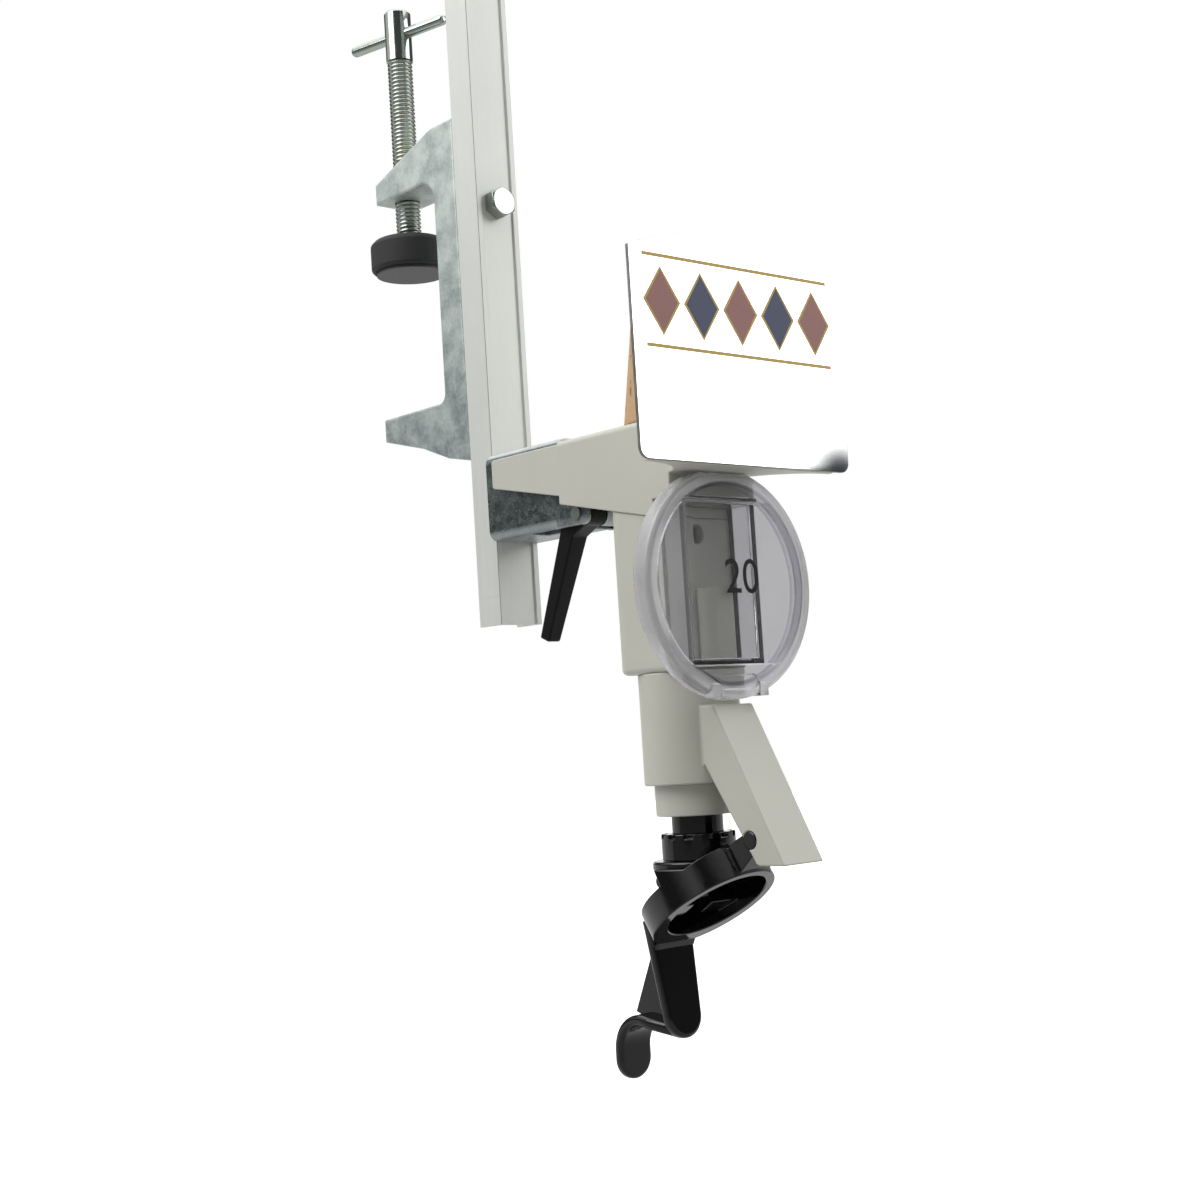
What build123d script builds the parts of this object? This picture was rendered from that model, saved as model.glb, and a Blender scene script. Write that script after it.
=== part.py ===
"""Bottle optic on a shelf-clamp stand: rail, clamp, bracket, arm, measuring chamber and push lever.

The frame: origin on the clamp's lower jaw, under the clamp screw, +Z up, the optic towards -Y.
"""
import os
from math import atan2, cos, radians, sin, tan

from build123d import *

os.makedirs("parts", exist_ok=True)

# Clearances shared by all pieces, in millimetres
overrun = 1.0
running_gap = 0.05
body_gap = 0.3
hole_gap = 0.1

# Rail, an aluminium channel that is open to the back
rail_width = 15.0
rail_depth = 10.0
rail_wall = 1.5
rail_length = 210.0
rail_ridge_width = 1.8
rail_ridge_height = 0.6
rail_drop = 68.1
screw_reach = 34.3

# Clamp frame, a casting bolted to the back of the rail
clamp_width = 15.0
clamp_opening = 67.4
spine_depth = 11.0
spine_foot_height = 19.2
spine_head_height = 15.9
lower_nose = 8.2
lower_tip_height = 7.0
lower_root_height = 16.9
lower_knee_height = 12.0
lower_knee_share = 0.4
upper_nose = 6.5
upper_tip_height = 6.4
shoulder_radius = 12.0
upper_throat_radius = 6.5
lower_throat_radius = 3.0
cast_edge_radius = 0.8
tongue_depth = 6.5
tongue_inset = 3.0

# Clamp bolt
bolt_diameter = 5.0
bolt_head_flats = 8.0
bolt_head_height = 4.0
bolt_length = 16.0
bolt_height = 55.6
bolt_chamfer_angle = 60.0
bolt_face_share = 0.46

# Clamp screw, its bar and its foot
shelf_gap = 44.6
screw_diameter = 7.8
screw_head_diameter = 8.4
screw_head_height = 16.0
screw_length = 79.4
screw_head_chamfer = 0.8
bar_diameter = 3.4
bar_length = 39.0
bar_drop = 7.5
bar_angle = 12.0
bar_end_radius = 1.3
disc_diameter = 21.4
disc_thickness = 2.0
disc_proud = 0.8
pad_diameter = 24.4
pad_height = 10.0
pad_top_chamfer = 1.6
pad_bottom_chamfer = 0.9
pad_socket_depth = 6.5

# Optic's place: its vertical axis before the rail, its lower tube end below the shelf seat
optic_reach = 67.0
optic_drop = 123.1

# Bracket, a folded sheet sleeve with two ears for the cam lever
bracket_width = 20.0
bracket_height = 24.9
bracket_depth = 32.0
bracket_sheet = 1.7
bracket_bend = 3.0
bracket_rise = 2.1
ear_length = 10.5
ear_height = 7.3
ear_radius = 2.0
slot_length = 16.0
bracket_screw_diameter = 5.0
bracket_screw_head = 9.0
bracket_screw_head_height = 2.8
nut_size = 10.6
nut_thickness = 4.0

# Cam lever between the ears
cam_pin_diameter = 3.0
cam_pin_head = 3.6
cam_pin_head_height = 0.5
cam_setback = 6.4
cam_height = 3.1
cam_offset = 4.6
cam_width = 5.7
cam_tip_width = 4.2
cam_hub_radius = 3.2
cam_lobe_radius = 2.4
cam_lobe_lift = 1.9
cam_knee_back = 7.4
cam_knee_drop = 3.6
cam_handle_length = 32.0
cam_handle_angle = 24.6
cam_handle_thickness = 5.4
cam_tip_thickness = 3.8
cam_tip_radius = 0.8
spacer_diameter = 6.2

# Arm, the light-grey moulding that hooks on the bracket and carries the sign
arm_half_width = 13.9
arm_height = 14.9
arm_rear = 31.0
arm_rear_height = 17.1
arm_slope = 12.6
arm_edge_radius = 1.6
arm_pocket_length = 7.0
arm_pocket_drop = 15.1
arm_shoulder = 5.7
hood_back = 12.2
hood_gap = 0.4
hood_front = 25.8
hood_half_width = 33.0
hood_lip = 2.0
hood_flare_start = 10.0
fork_length = 30.0
fork_half_width = 12.7
fork_step = 0.5
fork_rear_height = 8.0
fork_front_height = 14.4
fork_edge_radius = 0.8
key_length = 22.0
key_step = 0.3

# Sign plate and its tape
sign_half_width = 37.3
sign_side_height = 51.9
sign_arch_height = 6.5
sign_thickness = 1.0
sign_corner_radius = 2.8
tape_thickness = 0.8
tape_margin = 3.0

# Cork and inlet tube
cork_base_diameter = 25.0
cork_top_diameter = 18.0
cork_height = 27.6
inlet_diameter = 8.0
inlet_bore = 5.4
inlet_stand = 4.0
inlet_seat = 5.0

# Housing behind the measuring chamber
housing_half_width = 13.4
housing_front = 6.0
housing_corner_radius = 5.0
housing_edge_radius = 1.6
housing_bore = 8.0
port_diameter = 5.0
upper_port_drop = 8.4
lower_port_rise = 6.5

# Clear measuring chamber
lens_margin = 7.95
lens_share = 0.4802
lens_back = 13.3
lens_thickness = 5.3
lens_rim_radius = 1.6
lens_top_cut = 1.3
lens_recess = 2.2
lens_rim_width = 3.9
lens_flat_step = 0.75
chamber_wall = 1.5
chamber_step = 0.8
chamber_height = 42.9
gasket_thickness = 0.8
clip_width = 3.0
clip_height = 3.4
clip_depth = 3.2
clip_proud = 0.4
clip_inset = 0.6
clip_half_pitch = 8.5
pocket_width = 14.0
pocket_height = 3.6
pocket_depth = 0.8
standpipe_height = 18.4
standpipe_half_width = 5.6
standpipe_radius = 3.8

# Valve tube with the strut that carries the push lever
tube_diameter = 26.0
tube_bore = 20.4
tube_base = 8.0
tube_length = 28.7
tube_roof = 2.5
strut_half_width = 7.2
strut_wall = 1.7
strut_gap = 1.1
strut_top_rear = 9.0
strut_top_front = 15.5
strut_knee_height = 12.7
strut_knee_rear = 11.2
strut_heel_height = 4.9
strut_heel_rear = 22.5
strut_toe_drop = 12.4
strut_toe_rear = 27.2
strut_toe_front = 36.2
strut_toe_radius = 1.5

# Bush at the tube's lower end
bush_diameter = 21.0
bush_spigot_height = 4.0
seal_groove_height = 3.0
seal_thickness = 2.0
seal_depth = 1.8

# Nozzle, valve rod and spring, which rise together
stem_diameter = 13.3
stem_collar_diameter = 19.0
stem_collar_height = 2.0
nozzle_flange_diameter = 24.4
nozzle_flange_top = 11.4
nozzle_flange_height = 2.6
nozzle_flange_radius = 0.7
spout_diameter = 9.5
spout_length = 5.0
spout_bore = 5.6
castle_diameter = 19.2
castle_top = 4.6
castle_height = 6.7
castle_notches = 12
castle_notch_width = 2.2
castle_notch_depth = 1.2
rod_diameter = 5.0
rod_overlap = 3.0
rod_socket = 6.0
rod_seal_height = 3.0
spring_outer = 17.0
spring_inner = 14.0
spring_washer_thickness = 1.0

# Push lever: tongue with pins, slanted skirt, tab and tail
pivot_front = 25.2
pivot_drop = 6.2
pivot_pin_radius = 2.2
pivot_hub_radius = 3.2
skirt_angle = 31.2
skirt_centre_front = 4.0
skirt_centre_drop = 24.2
skirt_half_width = 16.0
skirt_half_length = 18.9
skirt_height = 7.6
opening_half_width = 13.0
opening_half_length = 14.8
opening_shift = 1.5
cheek_tongue_front = 18.0
cheek_tongue_drop = 6.4
cheek_rise_front = 13.9
cheek_rise_drop = 8.1
cheek_bend_front = 8.0
cheek_bend_drop = 12.8
cheek_rear = 0.8
cheek_rear_drop = 13.0
cheek_foot_front = 1.3
finger_inner = 6.4
finger_radius = 1.7
finger_depth = 5.0
rib_inner = 3.2
rib_start = 2.5
rib_end = 8.0
rib_rise = 3.0
rib_height = 3.5
push_top_half_width = 7.8
push_half_width = 6.0
push_top_drop = 27.0
push_top_rear = 14.1
push_bottom_drop = 57.9
push_bottom_rear = 9.6
push_thickness = 3.2
tail_half_width = 5.6
tail_thickness = 3.0
tail_root_drop = 55.8
tail_rise = 2.0
tail_crest_rear = 20.5
tail_bend_radius = 8.4
tail_bend_angle = 100.0
tail_end_length = 11.0
tail_tip_drop = 70.2
gusset_thickness = 4.0
gusset_foot_rear = 26.0
gusset_foot_drop = 52.0

# Places worked out from the sizes above
rail_back_y = -screw_reach
rail_front_y = rail_back_y - rail_depth
rail_web_y = rail_front_y + rail_ridge_height
rail_base_z = -rail_drop
spine_y = rail_back_y + spine_depth
axis_y = rail_front_y - optic_reach
optic_z = -optic_drop
channel_half_width = rail_width / 2 - rail_wall
housing_base = tube_base + tube_length
chamber_base = housing_base + chamber_step
chamber_top = chamber_base + chamber_height
chamber_mid = (chamber_top + chamber_base) / 2
lens_diameter = chamber_height + 2 * lens_margin
lens_centre = chamber_base + lens_share * chamber_height
lens_top_flat = lens_diameter / 2 - lens_top_cut
lens_face_diameter = lens_diameter - 2 * lens_rim_width
lens_face_flat = chamber_height / 2 - lens_flat_step
lens_front = lens_back + lens_thickness
strut_top = lens_centre - lens_diameter / 2 - strut_gap
upper_port_height = chamber_top - upper_port_drop
lower_port_height = chamber_base + lower_port_rise
rod_top = upper_port_height + rod_overlap
hood_base = lens_centre + lens_top_flat + hood_gap
arm_top = hood_base + arm_height
arm_rear_base = arm_top - arm_rear_height
arm_pocket_top = arm_top - arm_pocket_drop
arm_shoulder_base = chamber_top + body_gap
fork_top = arm_top - fork_step
key_top = arm_top - key_step
bracket_base = arm_top + bracket_rise - bracket_height
bracket_mid_z = optic_z + bracket_base + bracket_height / 2
bracket_front = optic_reach - bracket_depth
cam_y = bracket_front - cam_setback
cam_z = bracket_base + cam_height
pad_base_z = shelf_gap + disc_proud
pad_top_z = pad_base_z + pad_height
screw_base_z = pad_top_z - pad_socket_depth + body_gap
screw_top_z = screw_base_z + screw_length
screw_head_z = screw_top_z - screw_head_height
bar_z = screw_top_z - bar_drop

# Planes: side planes have Y to the right and Z up, front planes look at the optic's face
side = Plane((0, 0, 0), x_dir=(0, 1, 0), z_dir=(1, 0, 0))
optic_side = Plane((0, axis_y, optic_z), x_dir=(0, 1, 0), z_dir=(1, 0, 0))
cam_side = optic_side.offset(-cam_offset)


def optic_level(height):
    """A level plane on the optic's axis, at a height above its lower tube end."""
    return Plane((0, axis_y, optic_z + height))


def optic_front(forward, height=0.0):
    """A plane that faces the front, a distance before the optic's axis, at a height above its end."""
    return Plane((0, axis_y - forward, optic_z + height), x_dir=(1, 0, 0), z_dir=(0, -1, 0))


# Rail
with BuildPart() as rail:
    with BuildSketch(Plane.XY.offset(rail_base_z)):
        with Locations((0, rail_back_y - rail_depth / 2)):
            Rectangle(rail_width, rail_depth)
        with Locations((0, rail_back_y)):
            inner_depth = 2 * (rail_depth - rail_wall - rail_ridge_height)
            Rectangle(2 * channel_half_width, inner_depth, mode=Mode.SUBTRACT)
        with Locations((0, rail_front_y)):
            Rectangle(rail_width - 2 * rail_ridge_width, 2 * rail_ridge_height, mode=Mode.SUBTRACT)
    extrude(amount=rail_length)
    with BuildSketch(Plane((0, rail_front_y, 0), x_dir=(1, 0, 0), z_dir=(0, -1, 0))):
        with Locations((0, bolt_height)):
            Circle(bolt_diameter / 2 + hole_gap)
        with Locations((0, bracket_mid_z)):
            Circle(bracket_screw_diameter / 2 + hole_gap)
    extrude(amount=-rail_depth / 2, mode=Mode.SUBTRACT)
rail.part.label = "rail"
export_step(rail.part, "parts/rail.step")

# Clamp frame
head_z = clamp_opening + spine_head_height
knee_y = spine_y + lower_knee_share * (lower_nose - spine_y)
with BuildPart() as clamp_frame:
    with BuildSketch(side) as clamp_sketch:
        with BuildLine():
            Polyline(
                (rail_back_y, -spine_foot_height),
                (spine_y, -lower_root_height),
                (knee_y, -lower_knee_height),
                (lower_nose, -lower_tip_height),
                (lower_nose, 0),
                (spine_y, 0),
                (spine_y, clamp_opening),
                (upper_nose, clamp_opening),
                (upper_nose, clamp_opening + upper_tip_height),
                (spine_y, head_z),
                (rail_back_y, head_z),
                close=True,
            )
        make_face()
        corners = clamp_sketch.vertices()
        fillet(corners.sort_by_distance((spine_y, head_z))[0], shoulder_radius)
        corners = clamp_sketch.vertices()
        fillet(corners.sort_by_distance((spine_y, clamp_opening))[0], upper_throat_radius)
        corners = clamp_sketch.vertices()
        fillet(corners.sort_by_distance((spine_y, 0))[0], lower_throat_radius)
    extrude(amount=clamp_width / 2, both=True)
    cheeks = clamp_frame.faces().sort_by(Axis.X)
    fillet(cheeks[0].edges() + cheeks[-1].edges(), cast_edge_radius)
    tongue_z = (head_z - spine_foot_height) / 2
    with Locations((0, rail_back_y + (cast_edge_radius - tongue_depth) / 2, tongue_z)):
        Box(
            2 * (channel_half_width - body_gap),
            tongue_depth + cast_edge_radius,
            head_z + spine_foot_height - 2 * tongue_inset,
        )
    with BuildSketch(Plane.XY.offset(clamp_opening - overrun)):
        Circle(screw_diameter / 2 + running_gap)
    extrude(amount=spine_head_height, mode=Mode.SUBTRACT)
    bolt_hole_plane = Plane((0, rail_web_y, bolt_height), x_dir=(1, 0, 0), z_dir=(0, -1, 0))
    with BuildSketch(bolt_hole_plane):
        Circle(bolt_diameter / 2 + hole_gap)
    extrude(amount=-bolt_length - overrun, mode=Mode.SUBTRACT)
clamp_frame.part.label = "clamp_frame"
export_step(clamp_frame.part, "parts/clamp_frame.step")

# Clamp bolt
with BuildPart() as clamp_bolt:
    with BuildSketch(bolt_hole_plane):
        RegularPolygon(bolt_head_flats / 2, side_count=6, major_radius=False, rotation=30)
    extrude(amount=bolt_head_height)
    with BuildSketch(bolt_hole_plane.offset(bolt_head_height)):
        Circle(bolt_face_share * bolt_head_flats)
    extrude(amount=-bolt_head_height, taper=-bolt_chamfer_angle, mode=Mode.INTERSECT)
    with BuildSketch(bolt_hole_plane):
        Circle(bolt_diameter / 2)
    extrude(amount=-bolt_length)
clamp_bolt.part.label = "clamp_bolt"
export_step(clamp_bolt.part, "parts/clamp_bolt.step")

# Clamp screw, with the cross hole for its bar
bar_turn = radians(bar_angle)
bar_plane = Plane((0, 0, bar_z), x_dir=(0, 0, 1), z_dir=(-sin(bar_turn), cos(bar_turn), 0))
with BuildPart() as clamp_screw:
    with BuildSketch(Plane.XY.offset(screw_base_z)):
        Circle(screw_diameter / 2)
    extrude(amount=screw_length - screw_head_height)
    with BuildSketch(Plane.XY.offset(screw_head_z)):
        Circle(screw_head_diameter / 2)
    extrude(amount=screw_head_height)
    chamfer(clamp_screw.faces().sort_by(Axis.Z)[-1].edges(), screw_head_chamfer)
    with BuildSketch(bar_plane):
        Circle(bar_diameter / 2 + running_gap)
    extrude(amount=screw_head_diameter, both=True, mode=Mode.SUBTRACT)
clamp_screw.part.label = "clamp_screw"
export_step(clamp_screw.part, "parts/clamp_screw.step")

# Tommy bar
with BuildPart() as tommy_bar:
    with BuildSketch(bar_plane):
        Circle(bar_diameter / 2)
    extrude(amount=bar_length / 2, both=True)
    fillet(tommy_bar.edges().filter_by(GeomType.CIRCLE), bar_end_radius)
tommy_bar.part.label = "tommy_bar"
export_step(tommy_bar.part, "parts/tommy_bar.step")

# Foot pad, a rubber cap with a socket for the screw's end
with BuildPart() as foot_pad:
    with BuildSketch(Plane.XY.offset(pad_base_z)):
        Circle(pad_diameter / 2)
    extrude(amount=pad_height)
    chamfer(foot_pad.faces().sort_by(Axis.Z)[-1].edges(), pad_top_chamfer)
    chamfer(foot_pad.faces().sort_by(Axis.Z)[0].edges(), pad_bottom_chamfer)
    with BuildSketch(Plane.XY.offset(pad_base_z)):
        Circle(disc_diameter / 2 + hole_gap / 2)
    extrude(amount=disc_thickness - disc_proud, mode=Mode.SUBTRACT)
    with BuildSketch(Plane.XY.offset(pad_top_z)):
        Circle(screw_diameter / 2 + running_gap)
    extrude(amount=-pad_socket_depth, mode=Mode.SUBTRACT)
foot_pad.part.label = "foot_pad"
export_step(foot_pad.part, "parts/foot_pad.step")

# Foot disc
with BuildPart() as foot_disc:
    with BuildSketch(Plane.XY.offset(shelf_gap)):
        Circle(disc_diameter / 2)
    extrude(amount=disc_thickness)
foot_disc.part.label = "foot_disc"
export_step(foot_disc.part, "parts/foot_disc.step")

# Bracket: sleeve, closed by a web at the rail, with ears in front
bracket_plane = Plane((0, rail_front_y, bracket_mid_z), x_dir=(1, 0, 0), z_dir=(0, -1, 0))
sleeve_half_width = bracket_width / 2
sleeve_inner_half = sleeve_half_width - bracket_sheet
ear_top = bracket_base + ear_height
ear_front = bracket_front - ear_length
with BuildPart() as bracket:
    with BuildSketch(bracket_plane):
        RectangleRounded(bracket_width, bracket_height, bracket_bend)
    extrude(amount=bracket_depth)
    with BuildSketch(bracket_plane.offset(bracket_sheet)):
        RectangleRounded(
            bracket_width - 2 * bracket_sheet,
            bracket_height - 2 * bracket_sheet,
            bracket_bend - bracket_sheet,
        )
    extrude(amount=bracket_depth, mode=Mode.SUBTRACT)
    for end in (-1, 1):
        with BuildSketch(optic_side.offset(end * sleeve_inner_half)) as ear_sketch:
            with BuildLine():
                Polyline(
                    (bracket_front + bracket_sheet, bracket_base),
                    (ear_front, bracket_base),
                    (ear_front, ear_top),
                    (bracket_front + bracket_sheet, ear_top),
                    close=True,
                )
            make_face()
            fillet(ear_sketch.vertices().group_by(Axis.X)[0], ear_radius)
        extrude(amount=end * bracket_sheet)
    with BuildSketch(cam_side):
        with Locations((bracket_front, bracket_base)):
            Rectangle(2 * slot_length, 4 * bracket_sheet)
    extrude(amount=cam_width / 2 + body_gap, both=True, mode=Mode.SUBTRACT)
    with BuildSketch(optic_side):
        with Locations((cam_y, cam_z)):
            Circle(cam_pin_diameter / 2 + hole_gap / 2)
    extrude(amount=bracket_width, both=True, mode=Mode.SUBTRACT)
    with BuildSketch(bracket_plane):
        Circle(bracket_screw_diameter / 2 + hole_gap)
    extrude(amount=2 * bracket_sheet, mode=Mode.SUBTRACT)
bracket.part.label = "bracket"
export_step(bracket.part, "parts/bracket.step")

# Bracket screw and the square nut inside the rail
nut_front_y = rail_web_y + rail_wall
with BuildPart() as bracket_screw:
    with BuildSketch(bracket_plane.offset(bracket_sheet)):
        Circle(bracket_screw_head / 2)
    extrude(amount=bracket_screw_head_height)
    fillet(bracket_screw.faces().sort_by(Axis.Y)[0].edges(), bracket_screw_head_height / 2)
    with BuildSketch(bracket_plane.offset(bracket_sheet)):
        Circle(bracket_screw_diameter / 2)
    extrude(amount=-(nut_front_y + nut_thickness - rail_front_y + bracket_sheet))
bracket_screw.part.label = "bracket_screw"
export_step(bracket_screw.part, "parts/bracket_screw.step")

with BuildPart() as rail_nut:
    with BuildSketch(Plane((0, nut_front_y, bracket_mid_z), x_dir=(1, 0, 0), z_dir=(0, 1, 0))):
        Rectangle(nut_size, nut_size)
        Circle(bracket_screw_diameter / 2 + hole_gap / 2, mode=Mode.SUBTRACT)
    extrude(amount=nut_thickness)
rail_nut.part.label = "rail_nut"
export_step(rail_nut.part, "parts/rail_nut.step")

# Cam lever: lobed hub, knee and a handle that narrows to its tip
handle_turn = radians(cam_handle_angle)
knee = Vector(cam_y + cam_knee_back, cam_z - cam_knee_drop)
handle_along = Vector(sin(handle_turn), -cos(handle_turn))
handle_across = Vector(cos(handle_turn), sin(handle_turn))
tip = knee + handle_along * cam_handle_length
with BuildPart() as cam_lever:
    with BuildSketch(cam_side):
        with BuildLine():
            Line((cam_y, cam_z), knee)
        trace(line_width=cam_handle_thickness)
        with BuildLine():
            Polyline(
                knee - handle_across * (cam_handle_thickness / 2),
                knee + handle_across * (cam_handle_thickness / 2),
                tip + handle_across * (cam_tip_thickness / 2),
                tip - handle_across * (cam_tip_thickness / 2),
                close=True,
            )
        make_face()
        with Locations((cam_y, cam_z)):
            Circle(cam_hub_radius)
        with Locations(knee):
            Circle(cam_handle_thickness / 2)
        with Locations((cam_y, cam_z + cam_lobe_lift)):
            Circle(cam_lobe_radius)
    extrude(amount=cam_width / 2, both=True)
    with BuildSketch(optic_front(0)):
        with BuildLine():
            Polyline(
                (-cam_offset - cam_width / 2, knee.Y),
                (-cam_offset - cam_tip_width / 2, tip.Y - cam_tip_thickness),
                (-cam_offset + cam_tip_width / 2, tip.Y - cam_tip_thickness),
                (-cam_offset + cam_width / 2, knee.Y),
                (-cam_offset + cam_width / 2, arm_top),
                (-cam_offset - cam_width / 2, arm_top),
                close=True,
            )
        make_face()
    extrude(amount=-optic_reach, mode=Mode.INTERSECT)
    handle_end = cam_lever.edges().filter_by(Axis.X).group_by(Axis.Z)[0]
    fillet(handle_end, cam_tip_radius)
    with BuildSketch(cam_side):
        with Locations((cam_y, cam_z)):
            Circle(cam_pin_diameter / 2 + running_gap)
    extrude(amount=cam_width, both=True, mode=Mode.SUBTRACT)
cam_lever.part.label = "cam_lever"
export_step(cam_lever.part, "parts/cam_lever.step")

# Cam pin, headed at both ends
with BuildPart() as cam_pin:
    with BuildSketch(optic_side):
        with Locations((cam_y, cam_z)):
            Circle(cam_pin_diameter / 2)
    extrude(amount=sleeve_half_width, both=True)
    for end in (-1, 1):
        with BuildSketch(optic_side.offset(end * sleeve_half_width)):
            with Locations((cam_y, cam_z)):
                Circle(cam_pin_head / 2)
        extrude(amount=end * cam_pin_head_height)
cam_pin.part.label = "cam_pin"
export_step(cam_pin.part, "parts/cam_pin.step")

# Cam spacers, one each side of the lever
with BuildPart() as cam_spacers:
    for end in (-1, 1):
        with BuildSketch(cam_side.offset(end * (cam_width / 2 + body_gap))):
            with Locations((cam_y, cam_z)):
                Circle(spacer_diameter / 2)
                Circle(cam_pin_diameter / 2 + hole_gap / 2, mode=Mode.SUBTRACT)
        extrude(amount=end * (sleeve_inner_half + end * cam_offset - cam_width / 2 - body_gap))
cam_spacers.part.label = "cam_spacers"
export_step(cam_spacers.part, "parts/cam_spacers.step")

# Arm
arm_fall = tan(radians(arm_slope))
fork_rear = arm_rear + fork_length
arm_shoulder_low = arm_rear_base - (arm_rear + arm_shoulder) * arm_fall
with BuildPart() as arm:
    with BuildSketch(optic_side):
        with BuildLine():
            Polyline(
                (arm_rear, arm_top),
                (-hood_front, arm_top),
                (-hood_front, hood_base),
                (-hood_back, hood_base),
                (-hood_back, arm_shoulder_base),
                (-arm_shoulder, arm_shoulder_base),
                (-arm_shoulder, arm_shoulder_low),
                (arm_rear, arm_rear_base),
                close=True,
            )
        make_face()
    extrude(amount=arm_half_width, both=True)
    fillet(arm.edges().filter_by(Axis.Y).group_by(Axis.Z)[-1], arm_edge_radius)
    with BuildSketch(optic_level(hood_base)):
        with BuildLine():
            flare_left = (-hood_half_width, hood_lip - hood_front)
            flare_right = (hood_half_width, hood_lip - hood_front)
            neck_left = (-arm_half_width + arm_edge_radius, -hood_flare_start)
            neck_right = (arm_half_width - arm_edge_radius, -hood_flare_start)
            Polyline(
                flare_right,
                (hood_half_width, -hood_front),
                (-hood_half_width, -hood_front),
                flare_left,
            )
            TangentArc(flare_left, neck_left, tangent=(1, 0))
            Line(neck_left, neck_right)
            TangentArc(flare_right, neck_right, tangent=(-1, 0))
        make_face()
    extrude(amount=arm_top - hood_base - arm_edge_radius)
    with BuildSketch(optic_side):
        with Locations((arm_rear, arm_pocket_top - bracket_height / 2)):
            Rectangle(2 * arm_pocket_length, bracket_height)
    extrude(amount=sleeve_half_width + body_gap, both=True, mode=Mode.SUBTRACT)
    with BuildSketch(optic_side) as fork_sketch:
        with BuildLine():
            Polyline(
                (arm_rear, fork_top),
                (fork_rear, fork_top),
                (fork_rear, fork_top - fork_rear_height),
                (arm_rear, fork_top - fork_front_height),
                close=True,
            )
        make_face()
        fillet(fork_sketch.vertices().group_by(Axis.X)[-1], fork_edge_radius)
    extrude(amount=fork_half_width, both=True)
    with BuildSketch(optic_side):
        with Locations((fork_rear, bracket_base + bracket_height / 2)):
            Rectangle(2 * (fork_rear - arm_rear), 2 * bracket_height)
    extrude(amount=sleeve_half_width + body_gap, both=True, mode=Mode.SUBTRACT)
    with BuildSketch(optic_side):
        with Locations((arm_rear + key_length / 2, (key_top + arm_pocket_top) / 2)):
            Rectangle(key_length, key_top - arm_pocket_top)
    extrude(amount=sleeve_inner_half - body_gap, both=True)
    with BuildSketch(optic_level(arm_shoulder_low)):
        Circle(inlet_diameter / 2 + hole_gap / 2)
    extrude(amount=arm_top, mode=Mode.SUBTRACT)
arm.part.label = "arm"
export_step(arm.part, "parts/arm.step")

# Sign plate, a mirror-bright sheet with a low arched top
sign_back = hood_front + tape_thickness
sign_shoulder = hood_base + sign_side_height
with BuildPart() as sign_plate:
    with BuildSketch(optic_front(sign_back)) as sign_sketch:
        with BuildLine():
            Polyline(
                (-sign_half_width, sign_shoulder),
                (-sign_half_width, hood_base),
                (sign_half_width, hood_base),
                (sign_half_width, sign_shoulder),
            )
            ThreePointArc(
                (sign_half_width, sign_shoulder),
                (0, sign_shoulder + sign_arch_height),
                (-sign_half_width, sign_shoulder),
            )
        make_face()
        fillet(sign_sketch.vertices().group_by(Axis.Y)[0], sign_corner_radius)
    extrude(amount=sign_thickness)
sign_plate.part.label = "sign_plate"
export_step(sign_plate.part, "parts/sign_plate.step")

# Sign tape between the hood and the plate
with BuildPart() as sign_tape:
    tape_top = arm_top - arm_edge_radius
    with BuildSketch(optic_front(hood_front, (hood_base + tape_top) / 2)):
        Rectangle(2 * (hood_half_width - tape_margin), tape_top - hood_base - 2 * tape_margin)
    extrude(amount=tape_thickness)
sign_tape.part.label = "sign_tape"
export_step(sign_tape.part, "parts/sign_tape.step")

# Cork that plugs the bottle's neck
with BuildPart() as cork:
    with BuildSketch(optic_level(arm_top)):
        Circle(cork_base_diameter / 2)
    with BuildSketch(optic_level(arm_top + cork_height)):
        Circle(cork_top_diameter / 2)
    loft()
    with BuildSketch(optic_level(arm_top)):
        Circle(inlet_diameter / 2)
    extrude(amount=cork_height, mode=Mode.SUBTRACT)
cork.part.label = "cork"
export_step(cork.part, "parts/cork.step")

# Inlet tube through the cork
with BuildPart() as inlet_tube:
    with BuildSketch(optic_level(arm_top - inlet_seat)):
        Circle(inlet_diameter / 2)
        Circle(inlet_bore / 2, mode=Mode.SUBTRACT)
    extrude(amount=inlet_seat + cork_height + inlet_stand)
inlet_tube.part.label = "inlet_tube"
export_step(inlet_tube.part, "parts/inlet_tube.step")

# Housing, cut at the top to the arm's slope
with BuildPart() as housing:
    with BuildSketch(optic_level(housing_base)) as housing_sketch:
        with Locations((0, (housing_half_width - housing_front) / 2)):
            Rectangle(2 * housing_half_width, housing_half_width + housing_front)
        fillet(housing_sketch.vertices().group_by(Axis.Y)[-1], housing_corner_radius)
    extrude(amount=arm_rear_base - housing_base)
    bottom_edges = housing.faces().sort_by(Axis.Z)[0].edges()
    fillet(bottom_edges - bottom_edges.group_by(Axis.Y)[0], housing_edge_radius)
    with BuildSketch(optic_side):
        with BuildLine():
            Polyline(
                (-housing_front - overrun, arm_rear_base - (arm_rear + housing_front + overrun) * arm_fall),
                (arm_rear, arm_rear_base),
                (arm_rear, arm_top),
                (-housing_front - overrun, arm_top),
                close=True,
            )
        make_face()
    extrude(amount=arm_half_width, both=True, mode=Mode.SUBTRACT)
    with BuildSketch(optic_level(housing_base)):
        Circle(housing_bore / 2)
    extrude(amount=arm_top, mode=Mode.SUBTRACT)
    with BuildSketch(optic_front(housing_front)):
        with Locations((0, upper_port_height), (0, lower_port_height)):
            Circle(port_diameter / 2)
    extrude(amount=-housing_front, mode=Mode.SUBTRACT)
housing.part.label = "housing"
export_step(housing.part, "parts/housing.step")

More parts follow.
